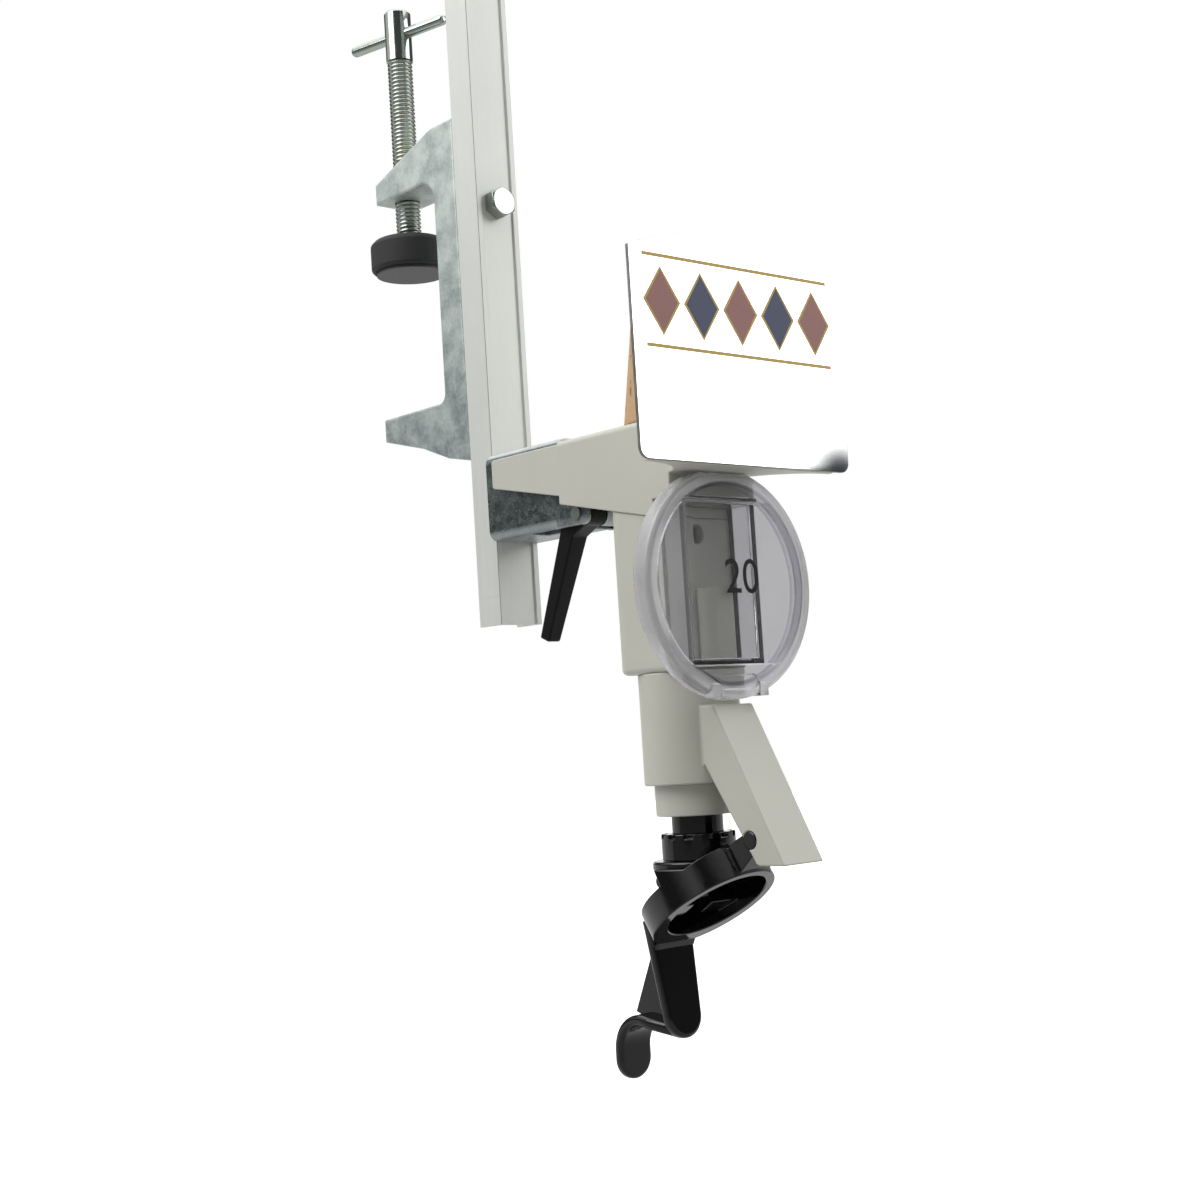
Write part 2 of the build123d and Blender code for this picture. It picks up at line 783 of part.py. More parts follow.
# Measuring chamber: a clear round flange with a box behind it
with BuildPart() as chamber:
    with BuildSketch(optic_front(lens_back, lens_centre)):
        Circle(lens_diameter / 2)
        with Locations((0, lens_top_flat + lens_diameter / 2)):
            Rectangle(lens_diameter, lens_diameter, mode=Mode.SUBTRACT)
    extrude(amount=lens_thickness)
    fillet(chamber.faces().sort_by(Axis.Y)[0].edges(), lens_rim_radius)
    with BuildSketch(optic_front(lens_front, lens_centre)):
        Circle(lens_face_diameter / 2)
        Rectangle(lens_face_diameter, 2 * lens_face_flat, mode=Mode.INTERSECT)
    extrude(amount=-lens_recess, mode=Mode.SUBTRACT)
    with BuildSketch(optic_front(housing_front + gasket_thickness, chamber_mid)):
        Rectangle(2 * housing_half_width, chamber_height)
    extrude(amount=lens_back - housing_front - gasket_thickness)
    with BuildSketch(optic_front(housing_front, chamber_mid)):
        Rectangle(2 * (housing_half_width - chamber_wall), chamber_height - 2 * chamber_wall)
    extrude(amount=lens_front - lens_recess - chamber_wall - housing_front, mode=Mode.SUBTRACT)
    clip_z = clip_inset + (clip_height - lens_diameter) / 2
    with BuildSketch(optic_front(lens_front + clip_proud, lens_centre)):
        with Locations((-clip_half_pitch, clip_z), (clip_half_pitch, clip_z)):
            Rectangle(clip_width, clip_height)
    extrude(amount=-clip_depth)
    pocket_z = -(lens_face_flat + lens_diameter / 2) / 2
    with BuildSketch(optic_front(lens_front, lens_centre)):
        with Locations((0, pocket_z)):
            SlotOverall(pocket_width, pocket_height)
    extrude(amount=-pocket_depth, mode=Mode.SUBTRACT)
chamber.part.label = "chamber"
export_step(chamber.part, "parts/chamber.step")

# Chamber gasket between the box and the housing
with BuildPart() as chamber_gasket:
    with BuildSketch(optic_front(housing_front, chamber_mid)):
        Rectangle(2 * housing_half_width, chamber_height)
        Rectangle(
            2 * (housing_half_width - chamber_wall),
            chamber_height - 2 * chamber_wall,
            mode=Mode.SUBTRACT,
        )
    extrude(amount=gasket_thickness)
chamber_gasket.part.label = "chamber_gasket"
export_step(chamber_gasket.part, "parts/chamber_gasket.step")

# Standpipe on the housing's face, inside the chamber
with BuildPart() as standpipe:
    chamber_depth = lens_front - lens_recess - chamber_wall - housing_front
    standpipe_centre = housing_front + chamber_depth / 2
    with BuildSketch(optic_level(chamber_base + chamber_wall)):
        with Locations((0, -(housing_front + standpipe_centre) / 2)):
            Rectangle(2 * standpipe_radius, standpipe_centre - housing_front)
        with Locations((0, -standpipe_centre)):
            SlotOverall(2 * standpipe_half_width, 2 * standpipe_radius)
    extrude(amount=standpipe_height)
    with BuildSketch(optic_level(chamber_base + chamber_wall)):
        with Locations((0, -standpipe_centre)):
            SlotOverall(
                2 * (standpipe_half_width - chamber_wall),
                2 * (standpipe_radius - chamber_wall),
            )
    extrude(amount=standpipe_height, mode=Mode.SUBTRACT)
    with BuildSketch(optic_front(housing_front, lower_port_height)):
        Circle(port_diameter / 2)
    extrude(amount=chamber_depth / 2, mode=Mode.SUBTRACT)
standpipe.part.label = "standpipe"
export_step(standpipe.part, "parts/standpipe.step")

# Valve tube with its strut
strut_points = [
    (-strut_top_rear, strut_top),
    (-strut_top_front, strut_top),
    (-strut_toe_front, -strut_toe_drop),
    (-strut_toe_rear, -strut_toe_drop),
    (-strut_heel_rear, -strut_heel_height),
    (-strut_knee_rear, strut_knee_height),
    (-strut_top_rear, strut_knee_height),
]
strut_lean = atan2(strut_toe_front - strut_top_front, strut_top + strut_toe_drop)
strut_skin = strut_wall / cos(strut_lean)
with BuildPart() as valve_tube:
    with BuildSketch(optic_side) as strut_sketch:
        with BuildLine():
            Polyline(*strut_points, close=True)
        make_face()
        toe = strut_sketch.vertices().sort_by_distance((-strut_toe_rear, -strut_toe_drop))
        fillet(toe[0], strut_toe_radius)
    extrude(amount=strut_half_width, both=True)
    with BuildSketch(optic_side):
        with BuildLine():
            Polyline(
                (0, strut_top - strut_wall),
                (-strut_top_front + strut_skin, strut_top - strut_wall),
                (-strut_toe_front + strut_skin - strut_wall * tan(strut_lean), -strut_toe_drop - strut_wall),
                (0, -strut_toe_drop - strut_wall),
                close=True,
            )
        make_face()
    extrude(amount=strut_half_width - strut_wall, both=True, mode=Mode.SUBTRACT)
    with BuildSketch(optic_side):
        with Locations((-pivot_front, -pivot_drop)):
            Circle(pivot_pin_radius + running_gap)
    extrude(amount=strut_half_width, both=True, mode=Mode.SUBTRACT)
    with BuildSketch(optic_level(tube_base)):
        Circle(tube_diameter / 2)
    extrude(amount=housing_base - tube_base)
    with BuildSketch(optic_level(tube_base)):
        Circle(tube_bore / 2)
    extrude(amount=housing_base - tube_base - tube_roof, mode=Mode.SUBTRACT)
    with BuildSketch(optic_level(tube_base)):
        Circle(rod_diameter / 2 + running_gap)
    extrude(amount=housing_base, mode=Mode.SUBTRACT)
valve_tube.part.label = "valve_tube"
export_step(valve_tube.part, "parts/valve_tube.step")

# Tube bush that guides the nozzle's stem
with BuildPart() as tube_bush:
    with BuildSketch(optic_level(0)):
        Circle(bush_diameter / 2)
    extrude(amount=tube_base)
    with BuildSketch(optic_level(tube_base)):
        Circle(tube_bore / 2 - hole_gap / 2)
    extrude(amount=bush_spigot_height)
    with BuildSketch(optic_level(0)):
        Circle(stem_diameter / 2 + running_gap)
    extrude(amount=tube_base + bush_spigot_height, mode=Mode.SUBTRACT)
    with BuildSketch(optic_level(seal_groove_height)):
        Circle(stem_diameter / 2 + seal_depth)
    extrude(amount=seal_thickness, mode=Mode.SUBTRACT)
tube_bush.part.label = "tube_bush"
export_step(tube_bush.part, "parts/tube_bush.step")

# Stem seal in the bush's groove
with BuildPart() as stem_seal:
    with BuildSketch(optic_level(seal_groove_height)):
        Circle(stem_diameter / 2 + seal_depth)
        Circle(stem_diameter / 2 + running_gap, mode=Mode.SUBTRACT)
    extrude(amount=seal_thickness)
stem_seal.part.label = "stem_seal"
export_step(stem_seal.part, "parts/stem_seal.step")

# Nozzle: collared stem, flange and spout
stem_collar_base = tube_base + bush_spigot_height + body_gap
stem_top = stem_collar_base + stem_collar_height
flange_base = -nozzle_flange_top - nozzle_flange_height
with BuildPart() as nozzle:
    with BuildSketch(optic_level(-nozzle_flange_top)):
        Circle(stem_diameter / 2)
    extrude(amount=nozzle_flange_top + stem_collar_base)
    with BuildSketch(optic_level(stem_collar_base)):
        Circle(stem_collar_diameter / 2)
    extrude(amount=stem_collar_height)
    with BuildSketch(optic_level(flange_base)):
        Circle(nozzle_flange_diameter / 2)
    extrude(amount=nozzle_flange_height)
    flange_rim = nozzle.edges().filter_by(GeomType.CIRCLE)
    flange_rim = flange_rim.filter_by(lambda edge: edge.radius > stem_collar_diameter / 2)
    fillet(flange_rim, nozzle_flange_radius)
    with BuildSketch(optic_level(flange_base)):
        Circle(spout_diameter / 2)
    extrude(amount=-spout_length)
    with BuildSketch(optic_level(flange_base - spout_length)):
        Circle(spout_bore / 2)
    extrude(amount=stem_top - rod_socket - flange_base + spout_length, mode=Mode.SUBTRACT)
    with BuildSketch(optic_level(stem_top)):
        Circle(rod_diameter / 2 + hole_gap / 2)
    extrude(amount=-rod_socket, mode=Mode.SUBTRACT)
nozzle.part.label = "nozzle"
export_step(nozzle.part, "parts/nozzle.step")

# Nozzle collar with a castellated top
with BuildPart() as nozzle_collar:
    with BuildSketch(optic_level(-castle_top - castle_height)):
        Circle(castle_diameter / 2)
        Circle(stem_diameter / 2 + hole_gap / 2, mode=Mode.SUBTRACT)
    extrude(amount=castle_height)
    with BuildSketch(optic_level(-castle_top - castle_notch_depth)):
        with PolarLocations(castle_diameter / 2, castle_notches):
            Rectangle(castle_notch_depth * 2, castle_notch_width)
    extrude(amount=castle_notch_depth, mode=Mode.SUBTRACT)
nozzle_collar.part.label = "nozzle_collar"
export_step(nozzle_collar.part, "parts/nozzle_collar.step")

# Valve rod
rod_base = stem_top - rod_socket + hole_gap
with BuildPart() as valve_rod:
    with BuildSketch(optic_level(rod_base)):
        Circle(rod_diameter / 2)
    extrude(amount=rod_top - rod_base)
valve_rod.part.label = "valve_rod"
export_step(valve_rod.part, "parts/valve_rod.step")

# Rod seals, which shut the two ports in turn
seal_bases = {
    "upper_rod_seal": upper_port_height - port_diameter / 2 - rod_seal_height - overrun,
    "lower_rod_seal": housing_base + overrun,
}
for seal_name, seal_base in seal_bases.items():
    with BuildPart() as rod_seal:
        with BuildSketch(optic_level(seal_base)):
            Circle(housing_bore / 2 - running_gap)
            Circle(rod_diameter / 2 + hole_gap / 2, mode=Mode.SUBTRACT)
        extrude(amount=rod_seal_height)
    rod_seal.part.label = seal_name
    export_step(rod_seal.part, f"parts/{seal_name}.step")

# Spring washer under the tube's roof, and the return spring below it
washer_base = housing_base - tube_roof - spring_washer_thickness
with BuildPart() as spring_washer:
    with BuildSketch(optic_level(washer_base)):
        Circle(tube_bore / 2 - hole_gap)
        Circle(rod_diameter / 2 + body_gap, mode=Mode.SUBTRACT)
    extrude(amount=spring_washer_thickness)
spring_washer.part.label = "spring_washer"
export_step(spring_washer.part, "parts/spring_washer.step")

with BuildPart() as valve_spring:
    with BuildSketch(optic_level(stem_top)):
        Circle(spring_outer / 2)
        Circle(spring_inner / 2, mode=Mode.SUBTRACT)
    extrude(amount=washer_base - stem_top)
valve_spring.part.label = "valve_spring"
export_step(valve_spring.part, "parts/valve_spring.step")

# Push lever's skirt: an oval wall square to its slanted rim, with cheeks that rise to the tongue
skirt_turn = radians(skirt_angle)
skirt_down = Vector(cos(skirt_turn), -sin(skirt_turn))
skirt_up = Vector(sin(skirt_turn), cos(skirt_turn))
skirt_centre = Vector(-skirt_centre_front, -skirt_centre_drop)
skirt_crown = skirt_centre + skirt_up * skirt_height
skirt_plane = Plane(
    (0, axis_y + skirt_centre.X, optic_z + skirt_centre.Y),
    x_dir=(1, 0, 0),
    z_dir=(0, skirt_up.X, skirt_up.Y),
)
cheek_foot_drop = -skirt_crown.Y - (skirt_crown.X + cheek_foot_front) * tan(skirt_turn)
skirt_tail = skirt_crown + skirt_down * (2 * skirt_half_length)
with BuildPart() as lever_skirt:
    with BuildSketch(skirt_plane):
        Ellipse(skirt_half_width, skirt_half_length)
        with Locations((0, -opening_shift)):
            Ellipse(opening_half_width, opening_half_length, mode=Mode.SUBTRACT)
    extrude(amount=2 * skirt_height)
    with BuildSketch(optic_side):
        with BuildLine():
            Polyline(
                (-pivot_front, -cheek_tongue_drop),
                (-cheek_tongue_front, -cheek_tongue_drop),
                (-cheek_rise_front, -cheek_rise_drop),
                (-cheek_bend_front, -cheek_bend_drop),
                (cheek_rear, -cheek_rear_drop),
                (-cheek_foot_front, -cheek_foot_drop),
                skirt_tail,
                (skirt_tail.X, -push_bottom_drop),
                (-pivot_front, -push_bottom_drop),
                close=True,
            )
        make_face()
    extrude(amount=2 * skirt_half_width, both=True, mode=Mode.INTERSECT)

# Push lever's tab, narrower downwards and round at its lower end
push_round_drop = push_bottom_drop - push_half_width
with BuildPart() as lever_tab:
    with BuildSketch(optic_side):
        with BuildLine():
            Line((push_top_rear, -push_top_drop), (push_bottom_rear, -push_bottom_drop))
        trace(line_width=push_thickness)
    extrude(amount=push_top_half_width, both=True)
    with BuildSketch(optic_front(0)):
        with Locations((0, -push_round_drop)):
            Circle(push_half_width)
        with BuildLine():
            Polyline(
                (-push_top_half_width, -push_top_drop),
                (-push_half_width, -push_round_drop),
                (push_half_width, -push_round_drop),
                (push_top_half_width, -push_top_drop),
                (push_top_half_width, 0),
                (-push_top_half_width, 0),
                close=True,
            )
        make_face()
    extrude(amount=-optic_reach, mode=Mode.INTERSECT)

# Push lever's tail: a strip that runs back, bends down and ends round
with BuildPart() as lever_tail:
    with BuildSketch(optic_side):
        with BuildLine():
            tail_run = Line(
                (push_bottom_rear, -tail_root_drop),
                (tail_crest_rear, tail_rise - tail_root_drop),
            )
            tail_bend = JernArc(tail_run @ 1, tail_run % 1, tail_bend_radius, -tail_bend_angle)
            Line(tail_bend @ 1, (tail_bend @ 1) + (tail_bend % 1) * tail_end_length)
        trace(line_width=tail_thickness)
    extrude(amount=tail_half_width, both=True)
    with BuildSketch(optic_front(0)):
        with Locations((0, tail_half_width - tail_tip_drop)):
            Circle(tail_half_width)
        with Locations((0, (tail_half_width - tail_tip_drop) / 2)):
            Rectangle(2 * tail_half_width, tail_tip_drop - tail_half_width)
    extrude(amount=-optic_reach, mode=Mode.INTERSECT)

# Push lever: skirt, tab and tail joined by a tongue with pins, lifting fingers and a gusset
finger_z = flange_base - body_gap - finger_radius
wall_front = (skirt_half_length + opening_half_length + opening_shift) / 2
tongue_root = skirt_centre - skirt_down * wall_front
with BuildPart() as push_lever:
    add(lever_skirt.part)
    add(lever_tab.part)
    add(lever_tail.part)
    with BuildSketch(optic_side):
        with Locations((-pivot_front, -pivot_drop)):
            Circle(pivot_hub_radius)
        with BuildLine():
            Polyline(
                (-pivot_front - pivot_hub_radius, -pivot_drop),
                (-pivot_front, pivot_hub_radius - pivot_drop),
                (-cheek_tongue_front, -cheek_tongue_drop),
                tongue_root + skirt_up * skirt_height,
                tongue_root + skirt_up * body_gap,
                close=True,
            )
        make_face()
    extrude(amount=strut_half_width - strut_wall - body_gap, both=True)
    with BuildSketch(optic_side):
        with Locations((-pivot_front, -pivot_drop)):
            Circle(pivot_pin_radius)
    extrude(amount=strut_half_width, both=True)
    for end in (-1, 1):
        with BuildSketch(optic_side.offset(end * finger_inner)):
            with Locations((0, finger_z)):
                Circle(finger_radius)
            with BuildLine():
                finger_heel = Vector(0, finger_z) - skirt_up * finger_radius
                Polyline(
                    (0, finger_z),
                    finger_heel,
                    finger_heel - skirt_down * finger_depth,
                    close=True,
                )
            make_face()
        extrude(amount=end * ((opening_half_width + skirt_half_width) / 2 - finger_inner))
        with BuildSketch(optic_side.offset(end * rib_inner)):
            with BuildLine():
                rib_front = skirt_centre + skirt_down * rib_start + skirt_up * rib_rise
                rib_back = skirt_centre + skirt_down * rib_end + skirt_up * rib_rise
                Polyline(
                    rib_front,
                    rib_back,
                    rib_back + skirt_up * rib_height,
                    rib_front + skirt_up * rib_height,
                    close=True,
                )
            make_face()
        extrude(amount=end * (opening_half_width + body_gap - rib_inner))
    with BuildSketch(optic_side):
        with BuildLine():
            Polyline(
                (push_top_rear, -push_top_drop),
                (gusset_foot_rear, -gusset_foot_drop),
                (tail_crest_rear, tail_rise - tail_root_drop),
                (push_bottom_rear, -tail_root_drop),
                close=True,
            )
        make_face()
    extrude(amount=gusset_thickness / 2, both=True)
push_lever.part.label = "push_lever"
export_step(push_lever.part, "parts/push_lever.step")
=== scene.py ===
"""Studio scene of a bottle optic on a shelf-clamp stand.

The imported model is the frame. This file adds the finishes, the moulded edges, the screw's thread, the
return spring, the lever's rounded tab and tail, the sign's print and the chamber's number, and sets the
light and the camera.
"""

import logging
import math
from collections.abc import Sequence
from dataclasses import dataclass
from enum import Enum
from itertools import combinations

import bmesh
import bpy
from mathutils import Matrix, Vector


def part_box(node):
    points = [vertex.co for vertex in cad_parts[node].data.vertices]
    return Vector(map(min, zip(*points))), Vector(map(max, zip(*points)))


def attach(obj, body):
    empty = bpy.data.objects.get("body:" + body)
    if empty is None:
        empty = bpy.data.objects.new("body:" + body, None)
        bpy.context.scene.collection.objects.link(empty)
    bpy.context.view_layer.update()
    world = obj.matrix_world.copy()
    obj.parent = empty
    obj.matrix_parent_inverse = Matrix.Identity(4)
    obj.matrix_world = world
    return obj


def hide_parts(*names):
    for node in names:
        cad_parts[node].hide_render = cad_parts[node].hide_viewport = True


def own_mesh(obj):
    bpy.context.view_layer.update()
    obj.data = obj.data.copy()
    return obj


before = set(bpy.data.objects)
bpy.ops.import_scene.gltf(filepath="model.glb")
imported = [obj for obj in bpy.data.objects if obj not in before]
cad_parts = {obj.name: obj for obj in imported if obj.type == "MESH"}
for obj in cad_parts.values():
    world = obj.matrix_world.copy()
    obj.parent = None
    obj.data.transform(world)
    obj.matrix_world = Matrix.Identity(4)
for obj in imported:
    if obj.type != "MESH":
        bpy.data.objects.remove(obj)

log = logging.getLogger("optic")
MM = 0.001
MERGE_DISTANCE = 1e-6
CUT_DISTANCE = 1e-8
CUT_GAP = 0.01 * MM
NEAR = 0.05 * MM
FLAT_ANGLE = math.radians(0.3)
SHARP_ANGLE = math.radians(32.0)
TIGHT_COSINE = math.cos(math.radians(38.0))
FACE_WEIGHT = 100
SIDEWAYS = 0.5
ACROSS = Vector((1.0, 0.0, 0.0))
UP = Vector((0.0, 0.0, 1.0))
UPRIGHT = Matrix.Rotation(math.pi / 2, 4, "X")
EVEN = (1.0, 1.0, 1.0)
WHITE = (1.0, 1.0, 1.0)
BLACK = (0.0, 0.0, 0.0)
Colour = tuple[float, float, float]
Point = tuple[float, float, float]
Span = tuple[float, float]
Shape = bmesh.types.BMesh
Socket = bpy.types.NodeSocket
Station = tuple[Vector, Vector, float]


class Number:
    """A shader value that takes part in Python arithmetic: each operation adds a Math node."""

    def __init__(self, graph: "Graph", socket: Socket) -> None:
        """Keeps the socket and the graph that it belongs to."""
        self.graph = graph
        self.socket = socket

    def _math(self, operation: str, first: object, second: object = 0.0) -> "Number":
        """Adds one Math node.

        Args:
            operation: The node's operation.
            first: Its first value, a number or a Number.
            second: Its second value.

        Returns:
            The node's result.
        """
        made = self.graph.node("ShaderNodeMath", {"operation": operation}, {0: first, 1: second})
        return Number(self.graph, made.outputs[0])

    def __add__(self, other: object) -> "Number":
        """Self plus other."""
        return self._math("ADD", self, other)

    def __sub__(self, other: object) -> "Number":
        """Self minus other."""
        return self._math("SUBTRACT", self, other)

    def __rsub__(self, other: object) -> "Number":
        """Other minus self."""
        return self._math("SUBTRACT", other, self)

    def __mul__(self, other: object) -> "Number":
        """Self times other."""
        return self._math("MULTIPLY", self, other)

    __radd__ = __add__
    __rmul__ = __mul__

    def swing(self) -> "Number":
        """The value about the middle of its range from 0 to 1."""
        return self - 0.5

    def size(self) -> "Number":
        """The value without its sign."""
        return self._math("ABSOLUTE", self)

    def rising(self, low: float, high: float) -> "Number":
        """Goes smoothly from 0 to 1 between two values.

        Args:
            low: The value where the result leaves 0.
            high: The value where it reaches 1.

        Returns:
            The smooth step.
        """
        made = self.graph.node(
            "ShaderNodeMapRange",
            {"interpolation_type": "SMOOTHSTEP"},
            {"Value": self, "From Min": low, "From Max": high},
        )
        return Number(self.graph, made.outputs["Result"])


class Graph:
    """A node tree with one method for every node that isn't plain arithmetic."""

    def __init__(self, tree: bpy.types.NodeTree) -> None:
        """Starts from an empty tree."""
        self.tree = tree
        self.tree.nodes.clear()

    def node(self, kind: str, settings: dict | None = None, inputs: dict | None = None) -> bpy.types.Node:
        """Adds a node.

        Args:
            kind: The node's type.
            settings: Its own properties, which are set first.
            inputs: Values or links of its sockets, by name or index.

        Returns:
            The node.
        """
        made = self.tree.nodes.new(kind)
        for key, value in (settings or {}).items():
            setattr(made, key, value)
        for key, value in (inputs or {}).items():
            socket = made.inputs[key]
            if isinstance(value, Number):
                value = value.socket
            if isinstance(value, Socket):
                self.tree.links.new(value, socket)
            elif socket.type == "RGBA":
                socket.default_value = (*value, 1.0)
            else:
                socket.default_value = value
        return made

    def place(self, stretch: Point = EVEN) -> Socket:
        """The point on the surface, in the object's own frame.

        Args:
            stretch: How much each axis is scaled, for a pattern that is longer one way.

        Returns:
            A vector socket.
        """
        point = self.node("ShaderNodeTexCoord").outputs["Object"]
        return self.node("ShaderNodeMapping", {}, {"Vector": point, "Scale": stretch}).outputs[0]

    def axes(self) -> tuple[Number, Number, Number]:
        """The point's X, Y and Z in metres."""
        split = self.node("ShaderNodeSeparateXYZ", {}, {0: self.place()})
        return tuple(Number(self, socket) for socket in split.outputs)

    def noise(self, scale: float, detail: float = 3.0, stretch: Point = EVEN) -> Number:
        """Soft cloudy noise.

        Args:
            scale: Features in a metre.
            detail: How many finer layers it has.
            stretch: How much each axis is scaled.

        Returns:
            A value between 0 and 1, mostly near 0.5.
        """
        inputs = {"Vector": self.place(stretch), "Scale": scale, "Detail": detail}
        return Number(self, self.node("ShaderNodeTexNoise", {}, inputs).outputs[0])

    def cells(self, scale: float) -> Number:
        """Crystal-like cells of different greys.

        Args:
            scale: Cells in a metre.

        Returns:
            A value between 0 and 1, the same all over a cell.
        """
        inputs = {"Vector": self.place(), "Scale": scale}
        colours = self.node("ShaderNodeTexVoronoi", {}, inputs).outputs["Color"]
        return Number(self, self.node("ShaderNodeRGBToBW", {}, {0: colours}).outputs[0])

    def ray(self, kind: str) -> Number:
        """1 for rays of a kind, such as Is Camera Ray, and otherwise 0."""
        return Number(self, self.node("ShaderNodeLightPath").outputs[kind])

    def measure(self, operation: str, vector: Socket, other: Vector) -> Number:
        """A number from two vectors.

        Args:
            operation: DOT_PRODUCT or DISTANCE.
            vector: The vector that changes over the surface.
            other: The fixed vector.

        Returns:
            The number.
        """
        made = self.node("ShaderNodeVectorMath", {"operation": operation}, {0: vector, 1: tuple(other)})
        return Number(self, made.outputs["Value"])

    def mix(self, low: object, high: object, share: object) -> Socket:
        """Blends two colours.

        Args:
            low: The colour at share 0.
            high: The colour at share 1.
            share: A Number or a float.

        Returns:
            A colour socket.
        """
        inputs = {0: share, 6: low, 7: high}
        return self.node("ShaderNodeMix", {"data_type": "RGBA"}, inputs).outputs[2]

    def bump(self, height: Number, depth: float) -> Socket:
        """Turns a height into a normal.

        Args:
            height: The height as a share of the depth.
            depth: The depth in metres.

        Returns:
            A normal socket.
        """
        return self.node("ShaderNodeBump", {}, {"Height": height, "Distance": depth}).outputs[0]

    def shader(self, inputs: dict) -> Socket:
        """A principled shader with these values and links."""
        return self.node("ShaderNodeBsdfPrincipled", {}, inputs).outputs[0]

    def clear(self, colour: Colour) -> Socket:
        """A shader that lets light through and tints it."""
        return self.node("ShaderNodeBsdfTransparent", {}, {"Color": colour}).outputs[0]

    def blend(self, low: Socket, high: Socket, share: Number) -> Socket:
        """Mixes two shaders: the first at share 0, the second at share 1."""
        return self.node("ShaderNodeMixShader", {}, {0: share, 1: low, 2: high}).outputs[0]

    def surface(self, inputs: dict) -> None:
        """Ends the tree in one principled shader with these values and links."""
        self.end(self.shader(inputs))

    def end(self, shader: Socket) -> None:
        """Ends the tree in a finished shader."""
        self.node("ShaderNodeOutputMaterial", {}, {"Surface": shader})


def shade(colour: Colour, factor: float) -> Colour:
    """A colour made lighter or darker by a factor."""
    return tuple(min(1.0, part * factor) for part in colour)


def new_material(name: str) -> tuple[bpy.types.Material, Graph]:
    """Makes a material.

    Args:
        name: Its name.

    Returns:
        The material and its empty graph.
    """
    made = bpy.data.materials.new(name)
    made.use_nodes = True
    return made, Graph(made.node_tree)


@dataclass(frozen=True)
class Finish:
    """What every finish has: its name, its colour and its roughness."""

    name: str
    colour: Colour
    roughness: float

    def material(self) -> bpy.types.Material:
        """The finish's material, made at its first use.

        Returns:
            The material.
        """
        found = bpy.data.materials.get(self.name)
        if found is None:
            found, graph = new_material(self.name)
            self.paint(graph)
        return found

    def paint(self, graph: Graph) -> None:
        """Fills the material's tree."""
        raise NotImplementedError


@dataclass(frozen=True)
class Moulding(Finish):
    """Moulded plastic, a little uneven in colour and gloss, with a fine skin."""

    unevenness: float = 0.03
    skin: float = 6e-6
    flow: float = 0.0
    sheen: float = 0.5
    cloud_scale: float = 70.0
    cloud_gloss: float = 0.10
    grain_scale: float = 2600.0
    grain_gloss: float = 0.08
    flow_scale: float = 300.0
    flow_stretch: Point = (1.0, 1.0, 0.08)

    def tone(self, graph: Graph, cloud: Number) -> Number:
        """How light the plastic is.

        Args:
            graph: The material's graph.
            cloud: Its soft clouds.

        Returns:
            The share between the dark and the light colour.
        """
        return cloud + self.flow * graph.noise(self.flow_scale, detail=2.0, stretch=self.flow_stretch).swing()

    def paint(self, graph: Graph) -> None:
        """Cloudy colour, grained roughness and a fine bump.

        Args:
            graph: The material's graph.
        """
        cloud = graph.noise(self.cloud_scale)
        grain = graph.noise(self.grain_scale, detail=2.0)
        low = shade(self.colour, 1.0 - self.unevenness)
        high = shade(self.colour, 1.0 + self.unevenness)
        graph.surface({
            "Base Color": graph.mix(low, high, self.tone(graph, cloud)),
            "Roughness": self.roughness + self.cloud_gloss * cloud.swing() + self.grain_gloss * grain.swing(),
            "Specular IOR Level": self.sheen,
            "Normal": graph.bump(grain, self.skin),
        })


@dataclass(frozen=True)
class SeamedMoulding(Moulding):
    """A moulding with a parting line across its left tongue, drawn lighter as a painted highlight."""

    seam_level: float = -25.43 * MM
    seam_start: float = -52.77 * MM
    seam_slope: float = 0.018
    seam_core: float = 0.044 * MM
    seam_half_width: float = 0.11 * MM
    seam_end: Span = (-79.0 * MM, -78.0 * MM)
    seam_highlight: float = 2.2
    face: Span = (-12.0 * MM, -11.8 * MM)

    def tone(self, graph: Graph, cloud: Number) -> Number:
        """The plain tone with the parting line drawn lighter, as a painted highlight of its small ridge.

        Args:
            graph: The material's graph.
            cloud: Its soft clouds.

        Returns:
            The share between the dark and the light colour.
        """
        across, along, height = graph.axes()
        # painted highlight: the parting line's ridge is drawn lighter in the colour
        off = height - self.seam_level - self.seam_slope * (along - self.seam_start)
        painted_line = 1.0 - off.size().rising(self.seam_core, self.seam_half_width)
        painted_line = painted_line * along.rising(*self.seam_end) * (1.0 - across.rising(*self.face))
        return super().tone(graph, cloud) + self.seam_highlight * painted_line


